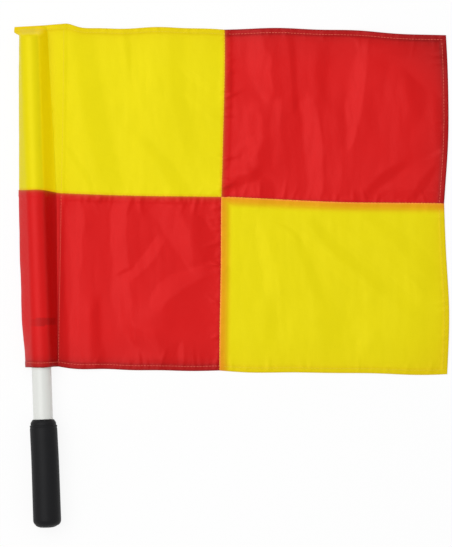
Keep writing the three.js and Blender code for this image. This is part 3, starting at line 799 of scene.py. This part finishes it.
        def raise_to(name, values):
            marks[name] = np.maximum(marks[name], values)

        # Painted shade: darker cloth within some centimetres of each hem, and more towards the corner between two
        # hems
        painted_hem_shade, corner = np.zeros(self.across.shape), np.full(self.across.shape, 0.3 * (self.kinds.count("hem") == 2))
        for kind, far in self.sides():
            if kind == "rolled":
                raise_to("lining", 0.9 * np.exp(-np.abs(far) / 1.3) if self.red else fall(far, 2.5, 9.5))
                # The folded edge, where the other colour shows through; on yellow cloth it also holds a painted
                # highlight
                raise_to("fold_edge", fall(far, 0.5, 0.8))
                raise_to("doubled", 0.2 * fall(far, 1, 6) * self.red)
            if kind == "hem":
                # Two layers of cloth in the hem, painted shade just inside its stitching, and painted shade along its
                # outer edge
                turned_in = 0.42 * fall(far, self.hem, 2) + 0.2 * ease(far / 6) * fall(far, self.hem, 9)
                raise_to("doubled", turned_in + 0.55 * fall(far, 0.4, 1.8))
                painted_hem_shade = painted_hem_shade + 0.16 * fall(far, 2, 40)
                corner = corner * fall(far, 0, 75)
            if kind == "tucked":
                # Painted shade in the groove beside the seam
                raise_to("ditch", fall(far, 0.2, 3))
        if self.loop:
            x, y = self.outer[..., 0], self.outer[..., 1]
            # Where light and shade are painted on the sleeve: its steep slope right of the staff, and its closed end
            # past the tip. The material darkens red cloth there as painted shade and brightens yellow cloth as
            # painted light.
            steep = ease((0.88 - self.normal[..., 2]) / 0.25)
            raise_to("slope", rise(x, -3, 12) * fall(x, 20, 3) * self.front * steep)
            raise_to("slope", 0.55 * rise(y, TIP, 4) * fall(x, 3, 6))
            # Painted shade on the sleeve's front over the staff and left of it
            raise_to("raised", fall(x, 1, 8) * self.front)
            # Painted shade in the hollow beside the sleeve's stitching on red cloth, fainter towards the top
            painted_valley_shade = bump(self.across + 0.9, 1.1) * (1 - 0.7 * ease(self.up / 110))
            raise_to("doubled", painted_valley_shade * self.red)
            over_band = (y > BAND_START) & (y < BAND_END) & (self.front > 0.5)
            raise_to("stripe", over_band * rise(x, -15, 17) * fall(x, 14, 4))
        # The painted shade by the hems and at the corners joins the same mark
        marks["doubled"] = marks["doubled"] + (painted_hem_shade + corner) * self.front
        return marks

    def add(self, material):
        """Adds the quarter as one piece."""
        points, faces, used = slab(self.outer, self.inner, self.kept())
        marks = {name: np.tile(values.ravel(), 2)[used] for name, values in self.marks().items()}
        places = np.tile(np.stack([self.across.ravel(), self.up.ravel()], 1), (2, 1))[used]
        return add_object(self.name, points, faces, "flag", self.slot, material, marks, places)

    def row(self, side, distance):
        """The points of the mesh line that runs nearest to a distance from the bottom or top, and their normals."""
        far = self.up if side == "bottom" else self.tall - self.up
        i = int(np.argmin(np.abs(far[:, 0] - distance)))
        keep = self.front[i] > 0.99
        return self.outer[i][keep], self.normal[i][keep]

    def column(self, distance, from_right=False):
        """The points of the mesh line that runs nearest to a distance from the left or right, and their normals."""
        far = self.wide - self.across if from_right else self.across
        j = self.open_from + int(np.argmin(np.abs(far[0, self.open_from :] - distance)))
        return self.outer[:, j], self.normal[:, j]


# Materials


class Value:
    """A socket in an expression: each operator adds the Math node that works it out."""

    def __init__(self, shade, socket):
        self.shade, self.socket = shade, socket

    def math(self, operation, *others):
        return self.shade.math(operation, self, *others)

    def __add__(self, other):
        return self.math("ADD", other)

    __radd__ = __add__

    def __sub__(self, other):
        return self.math("SUBTRACT", other)

    def __rsub__(self, other):
        return self.shade.math("SUBTRACT", other, self)

    def __mul__(self, other):
        return self.math("MULTIPLY", other)

    __rmul__ = __mul__

    def sine(self):
        return self.math("SINE")

    def size(self):
        return self.math("ABSOLUTE")

    def larger(self, other):
        return self.math("MAXIMUM", other)


class Shade:
    """A material under construction, or the world's."""

    def __init__(self, name, world=None):
        self.material = world or bpy.data.materials.new(name)
        self.material.use_nodes = True
        self.tree = self.material.node_tree
        self.tree.nodes.clear()

    def node(self, kind, settings=None, inputs=None):
        """Adds a node: its settings first, a ramp's stops among them, and then its sockets' values and links."""
        node = self.tree.nodes.new("ShaderNode" + kind)
        for name, setting in (settings or {}).items():
            if name == "stops":
                ramp = node.color_ramp.elements
                while len(ramp) < len(setting):
                    ramp.new(0.5)
                for element, (place, shade) in zip(ramp, setting):
                    element.position, element.color = place, (*shade, 1)
            else:
                setattr(node, name, setting)
        for name, given in (inputs or {}).items():
            given = given.socket if isinstance(given, Value) else given
            if isinstance(given, bpy.types.NodeSocket):
                self.tree.links.new(given, node.inputs[name])
            else:
                socket = node.inputs[name]
                socket.default_value = (*given, 1) if socket.type == "RGBA" else given
        return node

    def value(self, kind, settings=None, inputs=None, output=0):
        return Value(self, self.node(kind, settings, inputs).outputs[output])

    def math(self, operation, *values):
        return self.value("Math", {"operation": operation}, dict(enumerate(values)))

    def mark(self, name):
        """What a quarter's or a thread's mesh says of each point under a name."""
        return self.value("Attribute", {"attribute_name": name}, output="Fac")

    def mix(self, factor, first, second, blend="MIX"):
        settings = {"data_type": "RGBA", "blend_type": blend}
        return self.node("Mix", settings, {0: factor, 6: first, 7: second}).outputs[2]

    def cut_place(self):
        """Where a point lies on the cloth or the thread as that was cut, and its two axes as values."""
        place = self.node("UVMap", {"uv_map": "Cut"}).outputs[0]
        axes = self.node("SeparateXYZ", None, {0: place}).outputs
        return place, Value(self, axes[0]), Value(self, axes[1])

    def noise(self, place, scale, detail=3.0, roughness=0.5):
        inputs = {"Vector": place, "Scale": scale, "Detail": detail, "Roughness": roughness}
        return self.value("TexNoise", None, inputs, "Fac")

    def seen(self):
        """One where a ray comes from the camera, from a gloss or through something clear, and otherwise zero."""
        camera, glossy, clear = (
            self.value("LightPath", output=f"Is {ray} Ray") for ray in ("Camera", "Glossy", "Transmission")
        )
        return camera.larger(glossy).larger(clear)

    def scaled(self, place, factors):
        return self.node("VectorMath", {"operation": "MULTIPLY"}, {0: place, 1: factors}).outputs[0]

    def finish(self, colour, roughness, height=None, depth=0.0001, **constants):
        """Adds the surface itself. A height in the range 0 to 1 becomes a bump of that depth."""
        inputs = {"Base Color": colour, "Roughness": roughness}
        if height is not None:
            raised = {"Strength": 1.0, "Distance": depth, "Height": height}
            inputs["Normal"] = self.node("Bump", None, raised).outputs[0]
        inputs.update({name.replace("_", " "): value for name, value in constants.items()})
        surface = self.node("BsdfPrincipled", None, inputs)
        self.node("OutputMaterial", None, {"Surface": surface.outputs[0]})
        return self.material


def cloth_material(name, base, lined, fold, doubled, ditch, slope, gloss):
    """Thin woven cloth whose colour changes with what shows through it, and over the sleeve.

    Its first colours are the plain cloth, the cloth over another colour, and its folded edge there, which holds a
    painted highlight on yellow cloth. The others are what the colour is multiplied by: where cloth lies in two
    layers, with painted shade by the hems, at the corners and in the hollow beside the sleeve's stitching; painted
    shade beside a seam; painted shade on the red sleeve's slope and painted light on the yellow one; painted shade
    over the staff;
    and where the band under the sleeve shows through.
    """
    shade = Shade(name)
    place, across, up = shade.cut_place()
    turn = math.pi / bpy.context.scene.flag_cloth.weave
    weave = (across * turn).sine() * (up * turn).sine()
    # Threads that are a little thicker than others, close together across their length and long along it
    close, long = 2600, 90
    warp, weft = (shade.noise(shade.scaled(place, way), 1.0, 2.0) for way in ((close, long, 1), (long, close, 1)))
    slubs = warp + weft
    patches = shade.noise(place, 45, 3.0)
    crinkle = shade.noise(place, 130, 4.0, 0.6)
    colour = shade.mix(shade.mark("lining"), tuple(base), tuple(lined))
    colour = shade.mix(shade.mark("fold_edge"), colour, tuple(fold))
    # Painted shade over the staff, and the dark band under the sleeve that shows through the cloth
    shade_over_staff, over_band = (0.97, 0.96, 0.97), (0.74, 0.74, 0.74)
    tints = {"doubled": doubled, "ditch": ditch, "slope": slope, "raised": shade_over_staff, "stripe": over_band}
    for mark, tint in tints.items():
        colour = shade.mix(shade.mark(mark), colour, shade.mix(1.0, colour, tint, "MULTIPLY"))
    # Thicker threads and patches make the tone vary at random, and painted shade darkens it between the weave's
    # threads
    tone = 0.93 + 0.05 * slubs + 0.04 * patches + 0.03 * weave.size()
    toned = shade.node("VectorMath", {"operation": "SCALE"}, {0: colour, "Scale": tone}).outputs[0]
    height = 0.5 + 0.1 * weave + 0.2 * slubs + 0.6 * crinkle
    return shade.finish(toned, 0.42 + 0.06 * patches, height, 0.0002, Specular_IOR_Level=gloss, Metallic=0.11)


def thread_material():
    """Twisted thread, which looks redder where it lies on red cloth."""
    shade = Shade("Sewing thread")
    _, along, around = shade.cut_place()
    slant, radians_for_each_metre = 0.5, 14000
    twist = ((along + around * slant) * radians_for_each_metre).sine()
    stitch = bpy.context.scene.flag_stitch
    sewn = shade.mix(shade.mark("on_red"), tuple(stitch.thread), tuple(stitch.thread_on_red))
    # Painted shade in the grooves between the thread's strands
    shade_between_strands = shade.mix(1.0, sewn, (0.85, 0.85, 0.85), "MULTIPLY")
    strands = 0.5 + 0.5 * twist
    mixed = shade.mix(strands, shade_between_strands, sewn)
    return shade.finish(mixed, 0.6 + 0.05 * twist, strands, 0.00004, Specular_IOR_Level=0.3)


def plastic_material(name, base, roughness, depth):
    """Smooth plastic with faint lines along the staff and a very slight unevenness."""
    shade = Shade(name)
    place = shade.node("TexCoord").outputs["Object"]
    drawn = shade.noise(shade.scaled(place, (1500, 20, 1500)), 1.0, 2.0)
    haze = shade.noise(place, 60, 4.0)
    colour = shade.mix(haze, tuple(0.96 * c for c in base), tuple(base))
    return shade.finish(colour, roughness + 0.08 * haze, 0.7 * drawn + 0.3 * haze, depth)


def rubber_material():
    """Matte rubber with a fine grain and a little dust."""
    shade = Shade("Black rubber")
    base = tuple(bpy.context.scene.flag_staff.black)
    place = shade.node("TexCoord").outputs["Object"]
    grain = shade.noise(place, 2600, 3.0, 0.7)
    dust = shade.noise(place, 90, 5.0, 0.6)
    colour = shade.mix(dust, tuple(0.85 * c for c in base), tuple(1.25 * c for c in base))
    height = 0.8 * grain + 0.2 * dust
    return shade.finish(colour, 0.44 + 0.1 * dust, height, 0.00005, Specular_IOR_Level=0.14)


# Pieces


def turned(node, profile, slot, material, aside=None):
    """Adds a piece turned round the staff's axis from a profile of radius and height, in millimetres.

    Its points can stand aside to the right, by a function of their radius, their height and how far right they are.
    """
    sides = 96
    angles = np.arange(sides) * 2 * math.pi / sides
    points, rings = [], []
    for radius, high in profile:
        if radius == 0:
            rings.append([len(points)] * sides)
            points.append((0, high, 0))
            continue
        rings.append(list(range(len(points), len(points) + sides)))
        for to_right, to_top in zip(np.sin(angles), np.cos(angles)):
            shift = aside(radius, high, to_right) if aside else 0
            points.append((radius * to_right + shift, high, radius * to_top))
    if profile[0][0] > 0:
        rings.append(rings[0])
    faces = []
    for low, high in zip(rings, rings[1:]):
        for i in range(sides):
            j = (i + 1) % sides
            face = list(dict.fromkeys([low[i], low[j], high[j], high[i]]))
            if len(face) > 2:
                faces.append(face)
    return add_object(node, points, faces, "staff", slot, material, sharp=35)


def rounded(corner_radius, corner_height, radius, start, end, steps=4):
    """Points of a rounded corner in a profile, about a centre, from one angle to another in degrees."""
    angles = np.radians(np.linspace(start, end, steps + 1))
    return [(corner_radius + radius * math.cos(a), corner_height + radius * math.sin(a)) for a in angles]


def stitches(node, stitched):
    """Adds lines of stitching, each given by its points, their normals, and whether it is on red cloth.

    Each stitch is a short rounded length of thread whose ends go into the cloth.
    """
    stitch = bpy.context.scene.flag_stitch
    size, gap, radius = stitch.size / MM, stitch.gap / MM, stitch.width / MM / 2
    # The rings of one stitch: their shares of its length, their heights over the cloth and their sizes
    shares = np.array([0, 0.08, 0.3, 0.7, 0.92, 1])
    heights = np.array([-1.5, -0.1, 0.35, 0.35, -0.1, -1.5]) * radius
    sizes = np.array([0.5, 0.85, 1, 1, 0.85, 0.5]) * radius
    sides = 8
    angles = np.arange(sides) * 2 * math.pi / sides
    flatness = 0.8
    # How far in from the line's start and end the stitching keeps, how far stitches sway and how uneven they are
    start_space, end_space, sway, uneven = 0.6, 0.4, 0.03, 0.04
    tube = [
        (ring + i, ring + (i + 1) % sides, ring + (i + 1) % sides + sides, ring + i + sides)
        for ring in range(0, (len(shares) - 1) * sides, sides)
        for i in range(sides)
    ]
    count = len(shares) * sides
    shell = [*tube, range(sides - 1, -1, -1), range(count - sides, count)]
    points, faces, places, on_red = [], [], [], []
    draw = np.random.default_rng(len(node))
    for line, line_out, red in stitched:
        far = np.concatenate([[0], np.cumsum(np.linalg.norm(np.diff(line, axis=0), axis=1))])
        begin = start_space
        while begin + size < far[-1] - end_space:
            at = begin + shares * size
            centre, out = (
                np.stack([np.interp(at, far, axis) for axis in values.T], 1) for values in (line, line_out)
            )
            out /= np.linalg.norm(out, axis=1, keepdims=True)
            along = np.gradient(centre, axis=0)
            along /= np.linalg.norm(along, axis=1, keepdims=True)
            side = np.cross(along, out)
            centre = centre + out * heights[:, None] + side * draw.normal(0, sway)
            circle = np.cos(angles)[:, None] * side[:, None] + flatness * np.sin(angles)[:, None] * out[:, None]
            faces += [[len(points) * count + corner for corner in face] for face in shell]
            points.append(centre[:, None] + sizes[:, None, None] * circle)
            places.append(np.stack(np.meshgrid(at, angles * radius, indexing="ij"), axis=2))
            on_red += [red] * count
            begin += (size + gap) * draw.uniform(1 - uneven, 1 + uneven)
    marks = {"on_red": np.array(on_red, float)}
    material = bpy.data.materials.get("Sewing thread") or thread_material()
    points, places = np.array(points).reshape(-1, 3), np.array(places).reshape(-1, 2)
    return add_object(node, points, faces, "flag", "yellow_thread", material, marks, places)


def part(line, start, end, red):
    """What stitches() needs for a mesh line from one of its points to another, and whether that is on red cloth."""
    points, out = line
    return points[start:end], out[start:end], red


# Steps


class FLAG_OT_stage(bpy.types.Operator):
    """Adds the floor, the light and the camera"""

    bl_idname = "flag.stage"
    bl_label = "Stage"

    # The middle of what the camera sees, how far the camera is turned, and how much of the floor's own look is lost
    # where it is seen, so that its shadow stays faint
    middle = np.array([191.2, 252.9]) * MM
    roll = math.radians(-1.913)
    washed_out = 0.88

    def execute(self, context):
        context.scene.view_settings.view_transform = "Standard"
        stage = context.scene.flag_stage
        self.camera(context.scene, stage)
        self.sky(context.scene, stage)
        self.lamp("Key", stage.key, far=2.2, size=2.0, lean=math.radians(28), way=math.radians(164))
        self.lamp("Top light", stage.top, far=1.1, size=0.7, lean=math.radians(42), way=math.radians(88))
        self.floor(stage)
        return {"FINISHED"}

    def camera(self, scene, stage):
        """Looks straight down from far away, a little turned, as the photo does."""
        data = bpy.data.cameras.new("Camera")
        data.lens = data.sensor_width * stage.height / stage.view
        data.clip_start, data.clip_end = 0.01, 50
        camera = bpy.data.objects.new("Camera", data)
        camera.location = (*self.middle, TABLE * MM + stage.height)
        camera.rotation_euler = (0, 0, self.roll)
        scene.collection.objects.link(camera)
        scene.camera = camera

    def sky(self, scene, stage):
        """An even white light, which is at its full white only where it is seen."""
        scene.world = bpy.data.worlds.new("World")
        sky = Shade("World", scene.world)
        strength = 1 - (1 - sky.seen()) * (1 - stage.fill)
        plain = sky.node("Background", None, {"Color": (1, 1, 1), "Strength": strength}).outputs[0]
        sky.node("OutputWorld", None, {"Surface": plain})

    def lamp(self, name, strength, far, size, lean, way):
        """A round soft lamp that lights a level white face at the middle to its strength times the cosine."""
        data = bpy.data.lights.new(name, "AREA")
        data.shape, data.size = "DISK", size
        data.energy = strength * math.pi**2 * (far**2 + size**2 / 4)
        lamp = bpy.data.objects.new(name, data)
        bpy.context.scene.collection.objects.link(lamp)
        toward = np.array([math.sin(lean) * math.cos(way), math.sin(lean) * math.sin(way), math.cos(lean)])
        lamp.location = (*(self.middle + toward[:2] * far), toward[2] * far)
        lamp.rotation_euler = (0, lean, way)

    def floor(self, stage):
        """A plain pale floor that keeps the flag's soft shadow."""
        half, level = 6, TABLE * MM - 0.00005
        mesh = bpy.data.meshes.new("floor")
        corners = [(-half, -half, level), (half, -half, level), (half, half, level), (-half, half, level)]
        mesh.from_pydata(corners, [], [(0, 1, 2, 3)])
        floor = bpy.data.objects.new("floor", mesh)
        bpy.context.scene.collection.objects.link(floor)
        shade = Shade("Floor")
        lit = shade.node("BsdfDiffuse", None, {"Color": tuple(stage.floor)}).outputs[0]
        plain = shade.node("Emission", None, {"Color": (1, 1, 1), "Strength": 1.0}).outputs[0]
        surface = shade.node("MixShader", None, {0: shade.seen() * self.washed_out, 1: lit, 2: plain}).outputs[0]
        shade.node("OutputMaterial", None, {"Surface": surface})
        mesh.materials.append(shade.material)


class FLAG_OT_tube(bpy.types.Operator):
    """Adds the white tube of the staff"""

    bl_idname = "flag.tube"
    bl_label = "Staff tube"

    def execute(self, context):
        staff = context.scene.flag_staff
        radius, bore = staff.tube / MM, (staff.tube - staff.wall) / MM
        low, high = along_staff(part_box("pole_tube"))
        rim, bands = 0.35, 8
        profile = rounded(radius - rim, low + rim, rim, -90, 0)
        profile += [(radius, low + (high - low) * k / bands) for k in range(1, bands)]
        profile += rounded(radius - rim, high - rim, rim, 0, 90)
        profile += [(bore, high), (bore, low)]
        turned("pole_tube", profile, "white_tube", plastic_material("White plastic", staff.white, 0.28, 0.00002))
        return {"FINISHED"}


class FLAG_OT_plug(bpy.types.Operator):
    """Adds the domed plug in the staff's tip"""

    bl_idname = "flag.plug"
    bl_label = "Tip plug"

    def execute(self, context):
        staff = context.scene.flag_staff
        radius, bore = staff.tube / MM, (staff.tube - staff.wall) / MM
        low, high = along_staff(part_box("tip_plug"))
        seat, body, crest, chamfer, end_chamfer = high - 5, bore - 0.5, bore - 0.1, 0.2, 0.9
        first_rib, rib_pitch, ribs = low + 2.4, 4, 3
        profile = [(0, low), (body - end_chamfer, low), (body, low + end_chamfer)]
        for rib in range(ribs):
            foot = first_rib + rib * rib_pitch
            profile += [(body, foot), (crest, foot + 0.5), (crest, foot + 1.5), (body, foot + 2)]
        profile += [(body, seat), (radius - chamfer, seat), (radius, seat + chamfer)]
        dome = np.radians(np.linspace(6, 90, 13))
        profile += [(radius * math.cos(a), seat + (high - seat) * math.sin(a)) for a in dome[:-1]] + [(0, high)]
        turned("tip_plug", profile, "white_plug", plastic_material("Plug plastic", staff.plug, 0.45, 0.00003))
        return {"FINISHED"}


class FLAG_OT_band(bpy.types.Operator):
    """Adds the tape round the staff that keeps the sleeve in place"""

    bl_idname = "flag.band"
    bl_label = "Retaining band"

    def execute(self, context):
        staff = context.scene.flag_staff
        low, high, lip = BAND_START, BAND_END, 0.12
        inner, outer = staff.tube / MM + 0.05, BAND_RADIUS
        # The end of the last turn of tape
        tape_end, step = low + 2, 0.05
        profile = [(inner, low), (outer - lip, low), (outer, low + lip)]
        profile += [(outer, tape_end), (outer - step, tape_end + 0.1), (outer - step, high - lip)]
        profile += [(outer - lip, high), (inner, high)]
        turned("retaining_band", profile, "black_tape", plastic_material("Black tape", staff.tape, 0.42, 0.00008))
        return {"FINISHED"}


class FLAG_OT_grip(bpy.types.Operator):
    """Adds the rubber grip with its collar, groove and rounded end"""

    bl_idname = "flag.grip"
    bl_label = "Grip"

    def execute(self, context):
        staff = context.scene.flag_staff
        butt, tube, top = staff.grip / MM, staff.tube / MM, GRIP_MOUTH
        mouth = butt - 0.3
        collar = mouth - 0.95
        shoulder = top - 6
        groove = shoulder - 2.4
        groove_depth, groove_half, corner, hollow = 0.35, 1.25, 0.5, 5
        flat, end = 4.2, 8
        profile = [(0, 0), (3, 0), (flat, 0.12)]
        for angle in np.radians(np.linspace(8, 90, 15)):
            profile.append((flat + (butt - flat) * math.sin(angle), (end - 0.2) * (1 - math.cos(angle)) + 0.1))
        profile += [(butt - 0.3 * k / 8, end + (groove - 2 - end) * k / 8) for k in range(1, 8)]
        for step in np.linspace(-1, 1, 9):
            depth = groove_depth * (0.5 + 0.5 * math.cos(math.pi * step))
            profile.append((mouth - depth, groove + groove_half * step))
        profile += rounded(mouth - corner, shoulder - corner, corner, 0, 70)
        profile += [(mouth - 0.85, shoulder + 0.15), (collar, shoulder + 0.5)]
        profile += [(collar, top - 3.7), (collar - 0.2, top - 3.1), (tube + 1.1, top - 0.6), (tube + 0.8, top - 0.2)]
        profile += [(tube + 0.35, top), (tube + 0.08, top - 0.3), (tube + 0.08, hollow), (0, hollow)]

        def crooked(radius, high, to_right):
            """Bends the grip a little to its right away from its mouth, and makes it slightly oval."""
            bent, bent_over, oval = 0.6, 50, 0.02
            return 0 if radius < tube + 1 else bent * ease((top - high) / bent_over) + oval * radius * to_right

        turned("grip", profile, "black_rubber", rubber_material(), aside=crooked)
        return {"FINISHED"}


class FLAG_OT_quarters(bpy.types.Operator):
    """Adds the four quarters of the cloth, two of them with the sleeve"""

    bl_idname = "flag.quarters"
    bl_label = "Quarters"

    def execute(self, context):
        cloth = context.scene.flag_cloth
        materials = {
            "red_cloth": cloth_material(
                "Red cloth",
                cloth.red,
                lined=cloth.red_on_yellow,
                fold=cloth.red_on_yellow,
                # Darkening where the cloth lies in two layers, and painted shade by the hems and the sleeve's
                # stitching
                doubled=(0.5, 0.6, 0.6),
                ditch=(0.82, 1, 1),
                # Painted shade on the sleeve's slope
                slope=(0.84, 1, 1),
                gloss=0.19,
            ),
            "yellow_cloth": cloth_material(
                "Yellow cloth",
                cloth.yellow,
                lined=cloth.yellow_on_red,
                # Red showing through the folded edge, with a painted highlight
                fold=(0.95, 0.3, 0.04),
                doubled=(0.93, 0.82, 0.8),
                ditch=(1, 0.78, 1),
                # Painted light on the sleeve's slope, which brightens it
                slope=(1.27, 1.17, 1),
                gloss=0.1,
            ),
        }
        relief = Relief(cloth.fold_depth, cloth.pucker / MM)
        for name in QUARTERS:
            made[name] = quarter = Quarter(name, relief)
            piece = quarter.add(materials[quarter.slot])
            quarter.cut()
        return {"FINISHED"}


class FLAG_OT_hem_threads(bpy.types.Operator):
    """Adds the stitching of the three hems"""

    bl_idname = "flag.hem_threads"
    bl_label = "Hem stitching"

    def execute(self, context):
        inset = context.scene.flag_cloth.hem / MM - STITCHING_INSET
        for side, half in (("top", "upper"), ("bottom", "lower")):
            pair = [made[f"{half}_{place}_quarter"] for place in ("hoist", "fly")]
            stitches(side + "_hem_thread", [part(quarter.row(side, inset), 5, -2, quarter.red) for quarter in pair])
        pair = [made["lower_fly_quarter"], made["upper_fly_quarter"]]
        fly = [part(quarter.column(inset, from_right=True), 6, -6, quarter.red) for quarter in pair]
        stitches("fly_hem_thread", fly)
        return {"FINISHED"}


class FLAG_OT_sleeve_thread(bpy.types.Operator):
    """Adds the stitching that closes the sleeve"""

    bl_idname = "flag.sleeve_thread"
    bl_label = "Sleeve stitching"

    def execute(self, context):
        lower, upper = made["lower_hoist_quarter"], made["upper_hoist_quarter"]
        sewn = [part(lower.column(0), 5, None, lower.red), part(upper.column(0), 6, -5, upper.red)]
        stitches("sleeve_thread", sewn)
        return {"FINISHED"}


class FLAG_OT_seam_threads(bpy.types.Operator):
    """Adds the stitching in the four seams between the quarters"""

    bl_idname = "flag.seam_threads"
    bl_label = "Seam stitching"

    def execute(self, context):
        lower_hoist, lower_fly = made["lower_hoist_quarter"], made["lower_fly_quarter"]
        hoist, out = lower_hoist.row("top", 0)
        past_sleeve = hoist[:, 0] > CROSSING[0] + 2
        seams = {
            "hoist_cross_seam_thread": (hoist[past_sleeve], out[past_sleeve]),
            "fly_cross_seam_thread": lower_fly.row("top", 0),
            "upper_seam_thread": made["upper_fly_quarter"].column(0),
            "lower_seam_thread": lower_fly.column(0),
        }
        for name, seam in seams.items():
            stitches(name, [(*seam, False)])
        return {"FINISHED"}


STEPS = (
    FLAG_OT_stage,
    FLAG_OT_tube,
    FLAG_OT_plug,
    FLAG_OT_band,
    FLAG_OT_grip,
    FLAG_OT_quarters,
    FLAG_OT_hem_threads,
    FLAG_OT_sleeve_thread,
    FLAG_OT_seam_threads,
)


class FLAG_PT_panel(bpy.types.Panel):
    """Lists the settings and the steps that build the flag"""

    bl_idname = "FLAG_PT_panel"
    bl_label = "Flag"
    bl_space_type = "VIEW_3D"
    bl_region_type = "UI"
    bl_category = "Flag"

    def draw(self, context):
        for name, group in SETTINGS.items():
            box = self.layout.box()
            box.label(text=name.replace("flag_", "").capitalize())
            for setting in group.__annotations__:
                box.prop(getattr(context.scene, name), setting)
        for step in STEPS:
            self.layout.operator(step.bl_idname)


def register():
    for name, group in SETTINGS.items():
        bpy.utils.register_class(group)
        setattr(bpy.types.Scene, name, bpy.props.PointerProperty(type=group))
    for step in (*STEPS, FLAG_PT_panel):
        bpy.utils.register_class(step)


def unregister():
    for step in (FLAG_PT_panel, *reversed(STEPS)):
        bpy.utils.unregister_class(step)
    for name, group in SETTINGS.items():
        delattr(bpy.types.Scene, name)
        bpy.utils.unregister_class(group)


def main():
    register()
    for step in STEPS:
        group, name = step.bl_idname.split(".")
        getattr(getattr(bpy.ops, group), name)()


if __name__ == "__main__":
    main()
